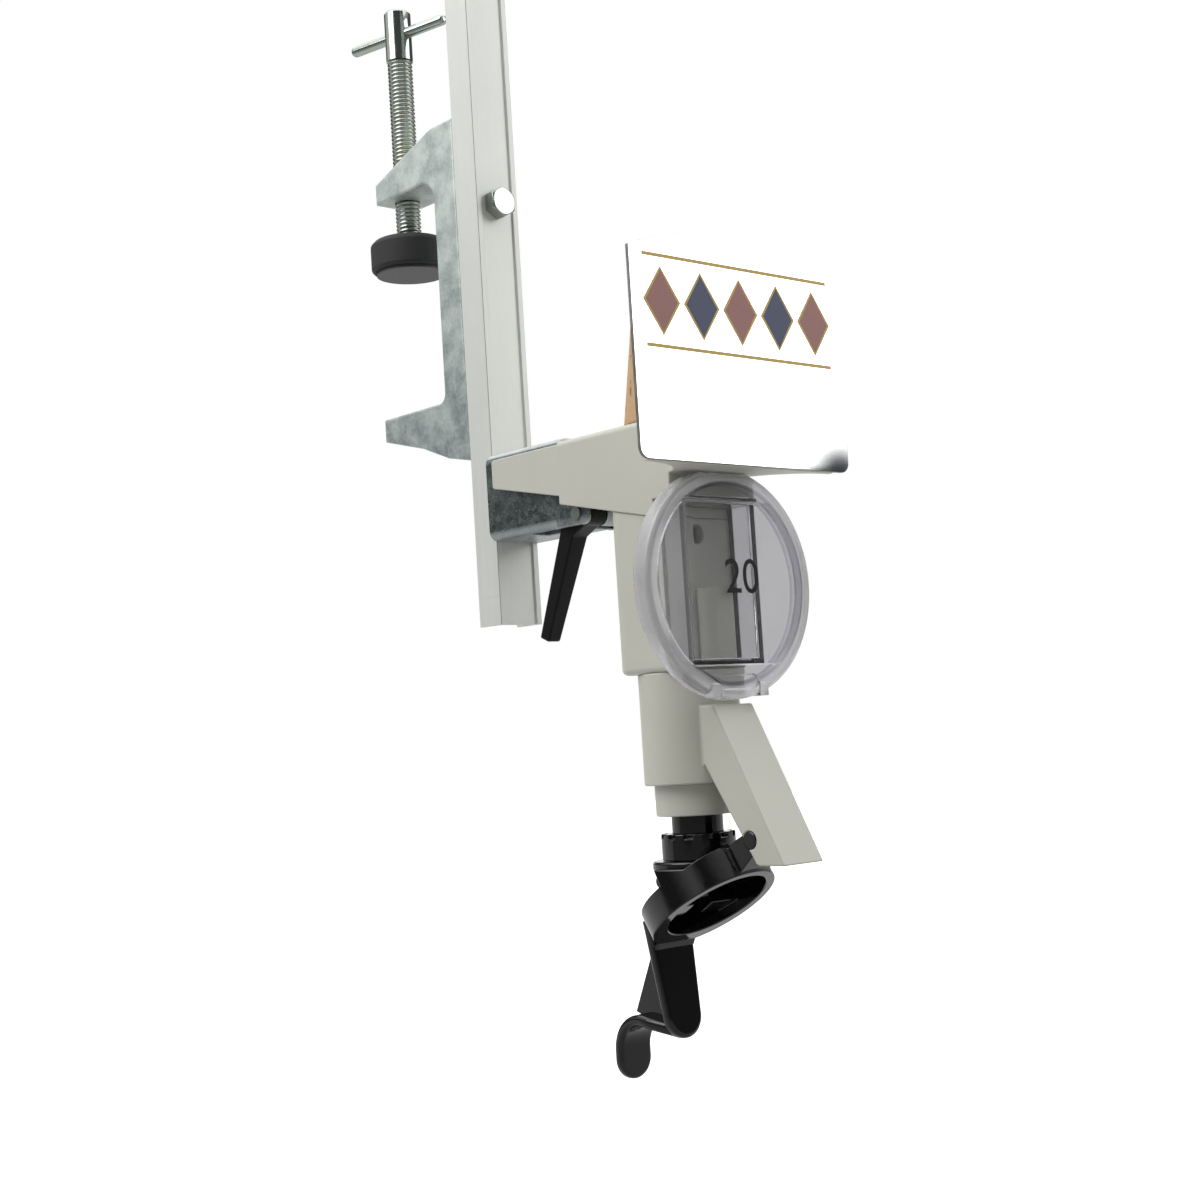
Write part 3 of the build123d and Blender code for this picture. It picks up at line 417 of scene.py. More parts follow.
@dataclass(frozen=True)
class Casting(Finish):
    """A zinc-coated casting with smears, crystals and a pitted skin, and painted shade that darkens it
    downwards.
    """

    dark: Colour
    metal: float = 0.55
    contrast: Span = (0.25, 0.75)
    smear_scale: float = 150.0
    smear_share: float = 0.6
    smear_gloss: float = 0.10
    crystal_scale: float = 900.0
    crystal_share: float = 0.25
    crystal_gloss: float = 0.22
    crystal_relief: float = 0.3
    pit_scale: float = 1500.0
    pit_relief: float = 0.7
    depth: float = 5e-5
    painted_light_span: Span = (-20.0 * MM, 80.0 * MM)
    painted_light_share: float = 0.35

    def paint(self, graph: Graph) -> None:
        """Smeared dark patches over crystals, rough all over, with painted light that makes it lighter
        upwards.

        Args:
            graph: The material's graph.
        """
        _, _, height = graph.axes()
        smear = graph.noise(self.smear_scale, detail=9.0)
        crystal = graph.noise(self.crystal_scale, detail=4.0)
        pits = graph.noise(self.pit_scale, detail=4.0)
        tone = self.smear_share * smear.rising(*self.contrast)
        tone = tone + self.crystal_share * crystal.rising(*self.contrast)
        # painted light and shade: lighter towards the top and darker downwards, as the light falls from above
        tone = tone + self.painted_light_share * height.rising(*self.painted_light_span)
        gloss = self.crystal_gloss * crystal.swing() + self.smear_gloss * smear.swing()
        graph.surface({
            "Base Color": graph.mix(self.dark, self.colour, tone),
            "Metallic": self.metal,
            "Roughness": self.roughness + gloss,
            "Normal": graph.bump(self.pit_relief * pits + self.crystal_relief * crystal, self.depth),
        })


@dataclass(frozen=True)
class DrawnAluminium(Finish):
    """A drawn aluminium section with lengthwise die lines and a scribed line near its end."""

    metal: float = 0.25
    darkest: float = 0.90
    lightest: float = 1.07
    line_scale: float = 1800.0
    line_stretch: Point = (1.0, 1.0, 0.012)
    line_share: float = 0.55
    line_gloss: float = 0.16
    line_depth: float = 1.2e-5
    cloud_scale: float = 60.0
    cloud_share: float = 0.45
    spot_scale: float = 700.0
    spot_span: Span = (0.70, 0.78)
    spot_share: float = 0.22
    scribe_height: float = -59.9 * MM
    scribe_core: float = 0.06 * MM
    scribe_half_width: float = 0.16 * MM
    scribe_side: Span = (-7.4 * MM, -7.2 * MM)
    scribe_share: float = 0.5
    scribe_relief: float = 0.6
    corner_shade_side: Span = (-7.39 * MM, -7.28 * MM)
    corner_shade_front: Span = (-44.19 * MM, -44.08 * MM)
    corner_shade_tone: float = 0.35
    corner_shade_share: float = 0.8

    def paint(self, graph: Graph) -> None:
        """Fine lines along Z, soft spots, a scribed line on the left side, and a painted shade line down the
        corner.

        Args:
            graph: The material's graph.
        """
        across, along, height = graph.axes()
        lines = graph.noise(self.line_scale, detail=3.0, stretch=self.line_stretch)
        cloud = graph.noise(self.cloud_scale, detail=4.0)
        spots = graph.noise(self.spot_scale, detail=2.0).rising(*self.spot_span)
        scribe = 1.0 - (height - self.scribe_height).size().rising(self.scribe_core, self.scribe_half_width)
        scribe = scribe * (1.0 - across.rising(*self.scribe_side))
        # painted shade: a dark line down the left front corner, standing in for the shadow at the ridge's
        # step
        corner = (1.0 - across.rising(*self.corner_shade_side)) * (1.0 - along.rising(*self.corner_shade_front))
        tone = self.line_share * lines + self.cloud_share * cloud
        tone = tone - self.spot_share * spots - self.scribe_share * scribe
        drawn = graph.mix(shade(self.colour, self.darkest), shade(self.colour, self.lightest), tone)
        edge = shade(self.colour, self.corner_shade_tone)
        graph.surface({
            "Base Color": graph.mix(drawn, edge, self.corner_shade_share * corner),
            "Metallic": self.metal,
            "Roughness": self.roughness + self.line_gloss * lines.swing(),
            "Normal": graph.bump(lines - self.scribe_relief * scribe, self.line_depth),
        })


@dataclass(frozen=True)
class BrightZinc(Finish):
    """Bright zinc plate with a straw and blue tinge."""

    straw: Colour
    tinge_scale: float = 190.0
    tinge_span: Span = (0.42, 0.70)
    tinge_share: float = 0.55
    mark_scale: float = 1500.0
    mark_stretch: Point = (1.0, 1.0, 0.2)
    mark_gloss: float = 0.14
    mark_depth: float = 8e-6

    def paint(self, graph: Graph) -> None:
        """Tinge in soft clouds, turning marks in the roughness.

        Args:
            graph: The material's graph.
        """
        tinge = graph.noise(self.tinge_scale).rising(*self.tinge_span)
        marks = graph.noise(self.mark_scale, detail=3.0, stretch=self.mark_stretch)
        graph.surface({
            "Base Color": graph.mix(self.colour, self.straw, self.tinge_share * tinge),
            "Metallic": 1.0,
            "Roughness": self.roughness + self.mark_gloss * marks.swing(),
            "Normal": graph.bump(marks, self.mark_depth),
        })


@dataclass(frozen=True)
class Galvanised(Finish):
    """Hot-dipped sheet: dull spangle with bright flecks, and a painted highlight along its fold and its bend.
    """

    dark: Colour
    fleck: Colour = (0.62, 0.66, 0.66)
    metal: float = 0.9
    highlight_metal_loss: float = 0.8
    fold_highlight_span: Span = (-21.2 * MM, -20.4 * MM)
    fold_highlight_share: float = 0.85
    bend_highlight_span: Span = (-43.0 * MM, -41.4 * MM)
    bend_highlight_share: float = 0.30
    least_highlight: float = 0.6
    cloud_highlight: float = 0.8
    spangle_scale: float = 620.0
    spangle_share: float = 0.45
    spangle_gloss: float = 0.20
    cloud_scale: float = 110.0
    cloud_share: float = 0.55
    fleck_scale: float = 2300.0
    fleck_span: Span = (0.60, 0.72)
    fleck_share: float = 0.8
    fleck_gloss: float = 0.12
    skin_scale: float = 900.0
    skin_depth: float = 1.6e-5

    def paint(self, graph: Graph) -> None:
        """Spangle cells in colour and roughness, flecks on top, and a painted highlight along the top fold
        and the lower bend.

        Args:
            graph: The material's graph.
        """
        _, _, height = graph.axes()
        spangle = graph.cells(self.spangle_scale)
        cloud = graph.noise(self.cloud_scale, detail=4.0)
        flecks = graph.noise(self.fleck_scale).rising(*self.fleck_span)
        # painted highlight: the sheet is drawn bright and less metallic along the top fold and the lower
        # bend, where they catch the light
        fold = self.fold_highlight_share * height.rising(*self.fold_highlight_span)
        bend = self.bend_highlight_share * (1.0 - height.rising(*self.bend_highlight_span))
        painted_highlight = (fold + bend) * (self.least_highlight + self.cloud_highlight * cloud)
        tone = self.spangle_share * spangle + self.cloud_share * cloud
        sheet = graph.mix(graph.mix(self.dark, self.colour, tone), self.fleck, painted_highlight)
        gloss = self.spangle_gloss * spangle.swing() + self.fleck_gloss * flecks
        graph.surface({
            "Base Color": graph.mix(sheet, self.fleck, self.fleck_share * flecks),
            "Metallic": self.metal - self.highlight_metal_loss * painted_highlight,
            "Roughness": self.roughness + gloss,
            "Normal": graph.bump(graph.noise(self.skin_scale, detail=4.0), self.skin_depth),
        })


@dataclass(frozen=True)
class Rubber(Finish):
    """Matt rubber with dust in its fine skin."""

    dust: Colour = (0.075, 0.073, 0.070)
    dust_scale: float = 140.0
    dust_span: Span = (0.42, 0.75)
    dust_share: float = 0.6
    grain_scale: float = 3200.0
    grain_gloss: float = 0.15
    grain_depth: float = 2.4e-5

    def paint(self, graph: Graph) -> None:
        """Dusty clouds and a fine skin.

        Args:
            graph: The material's graph.
        """
        cloud = graph.noise(self.dust_scale, detail=5.0).rising(*self.dust_span)
        grain = graph.noise(self.grain_scale, detail=2.0)
        graph.surface({
            "Base Color": graph.mix(self.colour, self.dust, self.dust_share * cloud),
            "Roughness": self.roughness + self.grain_gloss * grain.swing(),
            "Normal": graph.bump(grain, self.grain_depth),
        })


@dataclass(frozen=True)
class CorkBark(Finish):
    """Natural cork: tan grain with dark pores."""

    pale: Colour
    pore: Colour = (0.19, 0.095, 0.042)
    grain_scale: float = 900.0
    grain_share: float = 0.5
    grain_gloss: float = 0.1
    grain_relief: float = 0.4
    patch_scale: float = 230.0
    patch_share: float = 0.5
    pore_scale: float = 420.0
    pore_stretch: Point = (1.0, 1.0, 0.45)
    pore_span: Span = (0.60, 0.68)
    pore_share: float = 0.85
    pore_relief: float = 0.8
    depth: float = 2.5e-4

    def paint(self, graph: Graph) -> None:
        """Grain in patches, pores in short dashes.

        Args:
            graph: The material's graph.
        """
        grain = graph.noise(self.grain_scale, detail=4.0)
        patch = graph.noise(self.patch_scale)
        pores = graph.noise(self.pore_scale, detail=3.0, stretch=self.pore_stretch).rising(*self.pore_span)
        tone = self.grain_share * grain + self.patch_share * patch
        base = graph.mix(self.colour, self.pale, tone)
        graph.surface({
            "Base Color": graph.mix(base, self.pore, self.pore_share * pores),
            "Roughness": self.roughness + self.grain_gloss * grain.swing(),
            "Normal": graph.bump(self.grain_relief * grain - self.pore_relief * pores, self.depth),
        })


@dataclass(frozen=True)
class ClearPlastic(Finish):
    """Clear moulded plastic with a faint violet cast, a milky rim and a painted shade line round its face,
    where the rim's step refracts dark.
    """

    index: float = 1.52
    milk: Colour = (0.86, 0.86, 0.86)
    milk_roughness: float = 0.25
    milk_gloss: float = 0.1
    hazy_milk: float = 0.9
    painted_line: Colour = (0.30, 0.30, 0.40)
    shade_line_width: float = 0.7 * MM
    line_share: float = 0.85
    passing: Colour = (0.58, 0.58, 0.58)
    haze_scale: float = 120.0
    haze_span: Span = (0.45, 0.80)
    haze_tone: float = 0.97
    haze_gloss: float = 0.03
    skin_scale: float = 160.0
    skin_depth: float = 2.0e-5
    centre: float = -65.0 * MM
    rim: float = 25.6 * MM
    rim_fade: float = 1.0 * MM
    rim_gloss: float = 0.20
    box_side: float = 13.4 * MM
    fade: float = 0.2 * MM
    rim_milk: float = 0.30
    flange_milk: float = 0.15
    box_milk: float = 0.04

    def paint(self, graph: Graph) -> None:
        """Clear in the box, hazy and milky towards the rim. Light from lamps goes through it.

        Args:
            graph: The material's graph.
        """
        across, _, height = graph.axes()
        up = height - self.centre
        reach = across * across + up * up
        rim = reach.rising(self.rim**2, (self.rim + self.rim_fade) ** 2)
        # painted shade: a dark violet line just inside the rim, standing in for the dark refraction at the
        # rim's step
        start = self.rim - self.shade_line_width
        painted_line = reach.rising(start**2, (start + self.fade) ** 2) * (1.0 - rim)
        haze = graph.noise(self.haze_scale, detail=4.0).rising(*self.haze_span)
        skin = graph.bump(graph.noise(self.skin_scale, detail=2.0), self.skin_depth)
        tint = graph.mix(self.colour, shade(self.colour, self.haze_tone), haze)
        clear = graph.shader({
            "Base Color": graph.mix(tint, self.painted_line, self.line_share * painted_line),
            "Roughness": self.roughness + self.haze_gloss * haze + self.rim_gloss * rim,
            "IOR": self.index,
            "Transmission Weight": 1.0,
            "Normal": skin,
        })
        milky = graph.shader({
            "Base Color": graph.mix(self.milk, shade(self.milk, self.hazy_milk), haze),
            "Roughness": self.milk_roughness + self.milk_gloss * haze,
            "Normal": skin,
        })
        flange = across.size().rising(self.box_side - self.fade, self.box_side + self.fade)
        share = self.box_milk + (self.flange_milk - self.box_milk) * flange
        share = share + rim * (self.rim_milk - share)
        body = graph.blend(clear, milky, share)
        graph.end(graph.blend(body, graph.clear(self.passing), graph.ray("Is Shadow Ray")))


@dataclass(frozen=True)
class Mirror(Finish):
    """Mirror-bright sheet with faint wiping marks."""

    wipe_scale: float = 90.0
    wipe_stretch: Point = (1.0, 1.0, 0.35)
    wipe_tone: float = 0.97
    wipe_gloss: float = 0.03
    rolling_scale: float = 3600.0
    rolling_stretch: Point = (0.12, 1.0, 1.0)
    rolling_depth: float = 6e-7

    def paint(self, graph: Graph) -> None:
        """Bright metal whose gloss changes a little.

        Args:
            graph: The material's graph.
        """
        wipe = graph.noise(self.wipe_scale, detail=4.0, stretch=self.wipe_stretch)
        rolled = graph.noise(self.rolling_scale, detail=2.0, stretch=self.rolling_stretch)
        graph.surface({
            "Base Color": graph.mix(shade(self.colour, self.wipe_tone), self.colour, wipe),
            "Metallic": 1.0,
            "Roughness": self.roughness + self.wipe_gloss * wipe,
            "Normal": graph.bump(rolled, self.rolling_depth),
        })


@dataclass(frozen=True)
class Print(Finish):
    """Screen-printed ink."""

    cover_scale: float = 1400.0
    cover_gloss: float = 0.1
    thin: float = 0.92
    thick: float = 1.08
    sheen: float = 0.2

    def paint(self, graph: Graph) -> None:
        """Ink that is a little thin in places.

        Args:
            graph: The material's graph.
        """
        cover = graph.noise(self.cover_scale)
        graph.surface({
            "Base Color": graph.mix(shade(self.colour, self.thin), shade(self.colour, self.thick), cover),
            "Roughness": self.roughness + self.cover_gloss * cover.swing(),
            "Specular IOR Level": self.sheen,
        })


class Look(Enum):
    """The finishes of the object."""

    RAIL = DrawnAluminium("rail_aluminium", (0.67, 0.69, 0.65), 0.42)
    CASTING = Casting("clamp_casting", (0.58, 0.64, 0.605), 0.46, dark=(0.19, 0.24, 0.245))
    ZINC = BrightZinc("bright_zinc", (0.37, 0.43, 0.405), 0.14, straw=(0.40, 0.39, 0.29))
    # painted shade: a darker copy of the screw's zinc for its thread, standing in for the thread's dimmer
    # reflections
    SHADED_THREAD_ZINC = BrightZinc("shaded_thread_zinc", (0.33, 0.365, 0.335), 0.22, straw=(0.34, 0.33, 0.24))
    BOLT_ZINC = BrightZinc("bolt_zinc", (0.40, 0.44, 0.42), 0.16, straw=(0.40, 0.42, 0.36))
    DULL_ZINC = BrightZinc("dull_zinc", (0.30, 0.33, 0.31), 0.38, straw=(0.30, 0.30, 0.24))
    SHEET = Galvanised("galvanised_sheet", (0.215, 0.245, 0.25), 0.34, dark=(0.048, 0.061, 0.065))
    FOOT = Rubber("foot_rubber", (0.008, 0.008, 0.008), 0.55, dust=(0.04, 0.04, 0.038))
    DISC = Moulding("foot_disc_grey", (0.040, 0.040, 0.039), 0.55)
    GREY = Moulding("light_grey_moulding", (0.515, 0.515, 0.45), 0.42, flow=0.35)
    ARM = SeamedMoulding("light_grey_arm", (0.515, 0.515, 0.45), 0.42, flow=0.35)
    SATIN = Moulding(
        "satin_black_moulding", (0.006, 0.006, 0.0064), 0.40, unevenness=0.15, skin=1.4e-5, sheen=0.16,
    )
    GLOSS = Moulding(
        "gloss_black_moulding", (0.0035, 0.0035, 0.0037), 0.09, unevenness=0.15, skin=1.5e-6,
    )
    CLEAR = ClearPlastic("clear_chamber", (0.85, 0.85, 0.875), 0.0)
    MIRROR = Mirror("mirror_plate", (0.95, 0.955, 0.955), 0.03)
    CUT_EDGE = Casting("cut_sheet_edge", (0.30, 0.30, 0.28), 0.40, dark=(0.13, 0.13, 0.12))
    SEAL = Rubber("seal_rubber", (0.03, 0.03, 0.03), 0.6)
    CORK = CorkBark("natural_cork", (0.40, 0.235, 0.112), 0.72, pale=(0.58, 0.40, 0.225))
    TERRACOTTA = Print("terracotta_ink", (0.36, 0.18, 0.16), 0.4)
    SLATE = Print("slate_ink", (0.075, 0.09, 0.155), 0.4)
    GOLD = Print("gold_ink", (0.60, 0.42, 0.12), 0.4)
    DIGIT = Print("black_ink", (0.008, 0.008, 0.009), 0.4)

    def material(self) -> bpy.types.Material:
        """The material of this look."""
        return self.value.material()


def stretched(across: float, along: float, up: float) -> Matrix:
    """The matrix that scales each axis by its own factor."""
    return Matrix.Diagonal((across, along, up, 1.0))


def everything(shape: Shape) -> list:
    """All corners, edges and faces of a shape."""
    return shape.verts[:] + shape.edges[:] + shape.faces[:]


def merge(shape: Shape) -> None:
    """Merges the corners of a shape that lie on each other."""
    bmesh.ops.remove_doubles(shape, verts=shape.verts[:], dist=MERGE_DISTANCE)


def turn_outwards(shape: Shape) -> None:
    """Turns a shape's faces outwards."""
    bmesh.ops.recalc_face_normals(shape, faces=shape.faces[:])


def closed_loops(shape: Shape) -> None:
    """Fills every open edge loop of a shape and turns its faces outwards.

    Args:
        shape: The shape.
    """
    open_edges = [edge for edge in shape.edges if edge.is_boundary]
    bmesh.ops.holes_fill(shape, edges=open_edges, sides=0)
    turn_outwards(shape)


def cut(shape: Shape, point: Point, outward: Point) -> None:
    """Cuts off what lies past a plane, and leaves the cut open.

    Args:
        shape: The shape that is cut.
        point: A point on the plane.
        outward: The plane's normal, towards what goes.
    """
    bmesh.ops.bisect_plane(
        shape, geom=everything(shape), dist=CUT_DISTANCE, plane_co=point, plane_no=outward, clear_outer=True,
    )


def round_off(shape: Shape, chosen: list, radius: float, steps: int, affect: str = "EDGES") -> None:
    """Rounds chosen edges or corners of a shape.

    Args:
        shape: The shape.
        chosen: Its edges or corners.
        radius: The rounding's radius in metres.
        steps: How many faces go round.
        affect: EDGES or VERTICES.
    """
    bmesh.ops.bevel(
        shape, geom=chosen, offset=radius, segments=steps, profile=0.5, affect=affect, material=-1,
    )


def thicken(shape: Shape, way: Point) -> None:
    """Gives a flat shape's faces a thickness.

    Args:
        shape: The shape.
        way: How far and which way the faces are drawn out.
    """
    grown = bmesh.ops.extrude_face_region(shape, geom=shape.faces[:], use_keep_orig=True)
    corners = [item for item in grown["geom"] if isinstance(item, bmesh.types.BMVert)]
    bmesh.ops.translate(shape, verts=corners, vec=way)
    turn_outwards(shape)


def joined(shapes: list[Shape]) -> Shape:
    """Puts several closed shapes into one.

    Args:
        shapes: The shapes, which are used up.

    Returns:
        One shape with all their faces.
    """
    whole = bmesh.new()
    for shape in shapes:
        mesh = bpy.data.meshes.new("joining")
        shape.to_mesh(mesh)
        shape.free()
        whole.from_mesh(mesh)
        bpy.data.meshes.remove(mesh)
    return whole


def placed(name: str, data: bpy.types.ID) -> bpy.types.Object:
    """Makes an object.

    Args:
        name: Its name.
        data: Its mesh, text, light or camera.

    Returns:
        The object, in the scene.
    """
    made = bpy.data.objects.new(name, data)
    bpy.context.scene.collection.objects.link(made)
    return made


def new_object(name: str, shape: Shape, materials: list[bpy.types.Material]) -> bpy.types.Object:
    """Makes an object from a shape.

    Args:
        name: Its name.
        shape: Its shape, which is used up.
        materials: Its materials, in the order of its faces' material numbers.

    Returns:
        The object, in the scene.
    """
    mesh = bpy.data.meshes.new(name)
    shape.to_mesh(mesh)
    shape.free()
    for material in materials:
        mesh.materials.append(material)
    return placed(name, mesh)


class Assembly:
    """What every sub-assembly uses to make, dress and place its pieces."""

    def dress(self, look: Look, *nodes: str) -> None:
        """Gives solids of the frame a finish.

        Args:
            look: The finish.
            nodes: The solids' names.
        """
        for name in nodes:
            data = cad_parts[name].data
            data.materials.clear()
            data.materials.append(look.material())
            log.info("dressed %s", name)

    def merged(self, node: str) -> Shape:
        """A copy of a solid's mesh, merged and with its flat faces joined.

        Args:
            node: The solid's name.

        Returns:
            A new bmesh.
        """
        copy = bmesh.new()
        copy.from_mesh(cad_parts[node].data)
        merge(copy)
        bmesh.ops.dissolve_limit(copy, angle_limit=FLAT_ANGLE, verts=copy.verts[:], edges=copy.edges[:])
        return copy

    def piece(
        self, name: str, shape: Shape, body: str, looks: Sequence[Look], slot: str
    ) -> bpy.types.Object:
        """Makes a piece from a finished shape.

        Args:
            name: The piece's name.
            shape: Its shape, which is used up.
            body: The body that it rides on.
            looks: Its finishes, in the order of its faces' material numbers.
            slot: Not used.

        Returns:
            The piece.
        """
        made = new_object(name, shape, [look.material() for look in looks])
        made.data.shade_smooth()
        made.data.set_sharp_from_angle(angle=SHARP_ANGLE)
        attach(made, body)
        log.info("made %s on %s", name, body)
        return made

    def mark_edges(self, shape: Shape) -> None:
        """Marks the sharp edges for rounding, apart from those that leave a corner side by side.

        Args:
            shape: The shape whose edges get their weights.
        """
        weight = shape.edges.layers.float.new("bevel_weight_edge")
        sharp = {
            edge for edge in shape.edges if len(edge.link_faces) == 2 and edge.calc_face_angle() > SHARP_ANGLE
        }
        tight = set()
        for corner in shape.verts:
            leaving = [edge for edge in corner.link_edges if edge in sharp]
            ways = [(edge.other_vert(corner).co - corner.co).normalized() for edge in leaving]
            for first, second in combinations(range(len(ways)), 2):
                if ways[first].dot(ways[second]) > TIGHT_COSINE:
                    tight.update((leaving[first], leaving[second]))
        for edge in sharp - tight:
            edge[weight] = 1.0

    def soften(
        self, node: str, body: str, look: Look, slot: str, width: float, steps: int = 2,
        shape: Shape | None = None, edge: Look | None = None,
    ) -> None:
        """Replaces a solid by a copy with rounded edges.

        Args:
            node: The solid's name.
            body: The body that it rides on.
            look: The finish.
            slot: A label that is passed on to piece.
            width: The rounding's width in metres.
            steps: How many faces go round an edge.
            shape: A shape worked up from the solid, instead of a plain copy.
            edge: The roundings' own finish, if they have one.
        """
        looks = [look, edge] if edge else [look]
        shape = shape or self.merged(node)
        self.mark_edges(shape)
        made = self.piece(f"{node}_moulded", shape, body, looks, slot)
        rounding = made.modifiers.new("rounded_edges", "BEVEL")
        rounding.limit_method = "WEIGHT"
        rounding.width = width
        rounding.segments = steps
        rounding.use_clamp_overlap = False
        rounding.loop_slide = False
        rounding.material = looks.index(edge) if edge else -1
        shading = made.modifiers.new("even_shading", "WEIGHTED_NORMAL")
        shading.keep_sharp = True
        shading.weight = FACE_WEIGHT
        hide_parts(node)


@dataclass
class RailAndClamp(Assembly):
    """The rail, the cast clamp and its bolt."""

    rail_edge: float = 0.15 * MM
    bolt_edge: float = 0.15 * MM

    def build(self) -> None:
        """Dresses the casting and softens the rail and the bolt."""
        self.dress(Look.CASTING, "clamp_frame")
        self.soften("rail", "stand", Look.RAIL, "rail", self.rail_edge)
        self.soften("clamp_bolt", "stand", Look.BOLT_ZINC, "zinc", self.bolt_edge)


@dataclass
class ClampScrew(Assembly):
    """The clamp screw with its thread, its bar and its foot."""

    looks: tuple[Look, ...] = (Look.ZINC, Look.SHADED_THREAD_ZINC)
    crest: float = 3.9 * MM
    root: float = 3.4 * MM
    pitch: float = 1.25 * MM
    profile_shares: tuple[tuple[float, bool], ...] = (
        (0.0, False), (0.14, False), (0.43, True), (0.62, True), (1.0, False),
    )
    facets: int = 28
    head_base: float = 112.6 * MM
    pad_edge: float = 0.5 * MM
    pad_steps: int = 3

    def thread(self) -> Shape:
        """The threaded shank, a profile of one pitch wound up the axis and cut level at both ends.

        Returns:
            A closed shape.
        """
        low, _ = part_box("clamp_screw")
        turns = math.ceil((self.head_base - low.z) / self.pitch) + 2
        base = low.z - self.pitch
        profile = [(share, self.crest if high else self.root) for share, high in self.profile_shares]
        shape = bmesh.new()
        corners = [shape.verts.new((radius, 0.0, base + share * self.pitch)) for share, radius in profile]
        edges = [shape.edges.new(pair) for pair in zip(corners, corners[1:])]
        bmesh.ops.spin(
            shape, geom=corners + edges, cent=(0, 0, 0), axis=(0, 0, 1),
            dvec=(0, 0, self.pitch / self.facets), angle=2 * math.pi * turns, steps=self.facets * turns,
        )
        merge(shape)
        cut(shape, (0, 0, low.z + 2 * CUT_GAP), (0, 0, -1))
        cut(shape, (0, 0, self.head_base), (0, 0, 1))
        closed_loops(shape)
        # the thread gets the darker zinc, painted shade
        for face in shape.faces:
            face.material_index = self.looks.index(Look.SHADED_THREAD_ZINC)
        return shape

    def head(self) -> Shape:
        """The screw's head with its cross hole, cut from the solid.

        Returns:
            A closed shape.
        """
        shape = self.merged("clamp_screw")
        cut(shape, (0, 0, self.head_base + CUT_GAP), (0, 0, -1))
        closed_loops(shape)
        return shape

    def build(self) -> None:
        """Makes the screw and dresses the bar and the foot."""
        shape = joined([self.thread(), self.head()])
        screw = self.piece("threaded_screw", shape, "screw", self.looks, "zinc")
        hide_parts("clamp_screw")
        self.dress(Look.ZINC, "tommy_bar")
        self.soften("foot_pad", "foot", Look.FOOT, "foot_rubber", self.pad_edge, self.pad_steps)
        self.dress(Look.DISC, "foot_disc")


@dataclass
class CamBracket(Assembly):
    """The folded bracket, its screw and nut, and the cam lever on its pin."""

    sheet_edge: float = 0.22 * MM
    lever_edge: float = 0.45 * MM

    def build(self) -> None:
        """Softens the sheet and the lever and dresses the rest."""
        self.soften("bracket", "stand", Look.SHEET, "galvanised", self.sheet_edge)
        self.soften("cam_lever", "cam", Look.SATIN, "black_satin", self.lever_edge)
        self.dress(Look.ZINC, "bracket_screw", "rail_nut")
        self.dress(Look.DULL_ZINC, "cam_pin", "cam_spacers")


@dataclass
class ArmAndCork(Assembly):
    """The arm that carries the sign, the cork and the inlet tube."""

    arm_edge: float = 0.30 * MM
    cork_edge: float = 0.6 * MM

    def build(self) -> None:
        """Softens the arm and the cork and dresses the tube and the tape."""
        self.soften("arm", "stand", Look.ARM, "grey_plastic", self.arm_edge)
        self.soften("cork", "stand", Look.CORK, "cork", self.cork_edge)
        self.dress(Look.GREY, "inlet_tube")
        self.dress(Look.SEAL, "sign_tape")


@dataclass
class SignPlate(Assembly):
    """The mirror-bright plate and its plain row of lozenges between two rules."""

    plate_edge: float = 0.12 * MM
    ink: float = 0.05 * MM
    row_height: float = 2.5 * MM
    lozenge_count: int = 5
    lozenge_half_width: float = 6.2 * MM
    lozenge_half_height: float = 8.6 * MM
    lozenge_pitch: float = 13.6 * MM
    outline: float = 0.85 * MM
    rule_half_length: float = 33.0 * MM
    rule_half_height: float = 0.45 * MM
    rule_offset: float = 11.2 * MM

    def spot(self, across: float, level: float, half_width: float, half_height: float) -> Matrix:
        """The matrix that puts a flat unit shape on the print's plane.

        Args:
            across: The middle's X.
            level: The middle's Z.
            half_width: Half the width.
            half_height: Half the height.

        Returns:
            The matrix.
        """
        size = stretched(half_width, 1.0, half_height)
        return Matrix.Translation((across, 0.0, level)) @ size @ UPRIGHT

    def lozenges(self) -> Shape:
        """The printed row, flat on XZ before it gets its thickness.

        Returns:
            A shape whose faces carry material 0 for gold, 1 and 2 for the two inks.
        """
        shape = bmesh.new()
        for number in range(self.lozenge_count):
            across = (number - (self.lozenge_count - 1) / 2) * self.lozenge_pitch
            place = self.spot(across, self.row_height, self.lozenge_half_width, self.lozenge_half_height)
            made = bmesh.ops.create_circle(shape, cap_ends=True, segments=4, radius=1.0, matrix=place)
            face = made["verts"][0].link_faces[0]
            bmesh.ops.inset_individual(shape, faces=[face], thickness=self.outline)
            face.material_index = 1 + number % 2
        for side in (-1, 1):
            level = self.row_height + side * self.rule_offset
            place = self.spot(0.0, level, self.rule_half_length, self.rule_half_height)
            bmesh.ops.create_grid(shape, x_segments=1, y_segments=1, size=1.0, matrix=place)
        return shape

    def build(self) -> None:
        """Softens the plate and prints on its face."""
        plate = self.merged("sign_plate")
        for face in plate.faces:
            face.material_index = int(abs(face.normal.y) < SIDEWAYS)
        self.soften(
            "sign_plate", "stand", Look.MIRROR, "sign", self.plate_edge, shape=plate, edge=Look.CUT_EDGE,
        )
        shape = self.lozenges()
        face_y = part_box("sign_plate")[0].y
        bmesh.ops.translate(shape, verts=shape.verts[:], vec=(0.0, face_y, 0.0))
        thicken(shape, (0.0, -self.ink, 0.0))
        looks = [Look.GOLD, Look.TERRACOTTA, Look.SLATE]
        self.piece("sign_print", shape, "stand", looks, "sign")


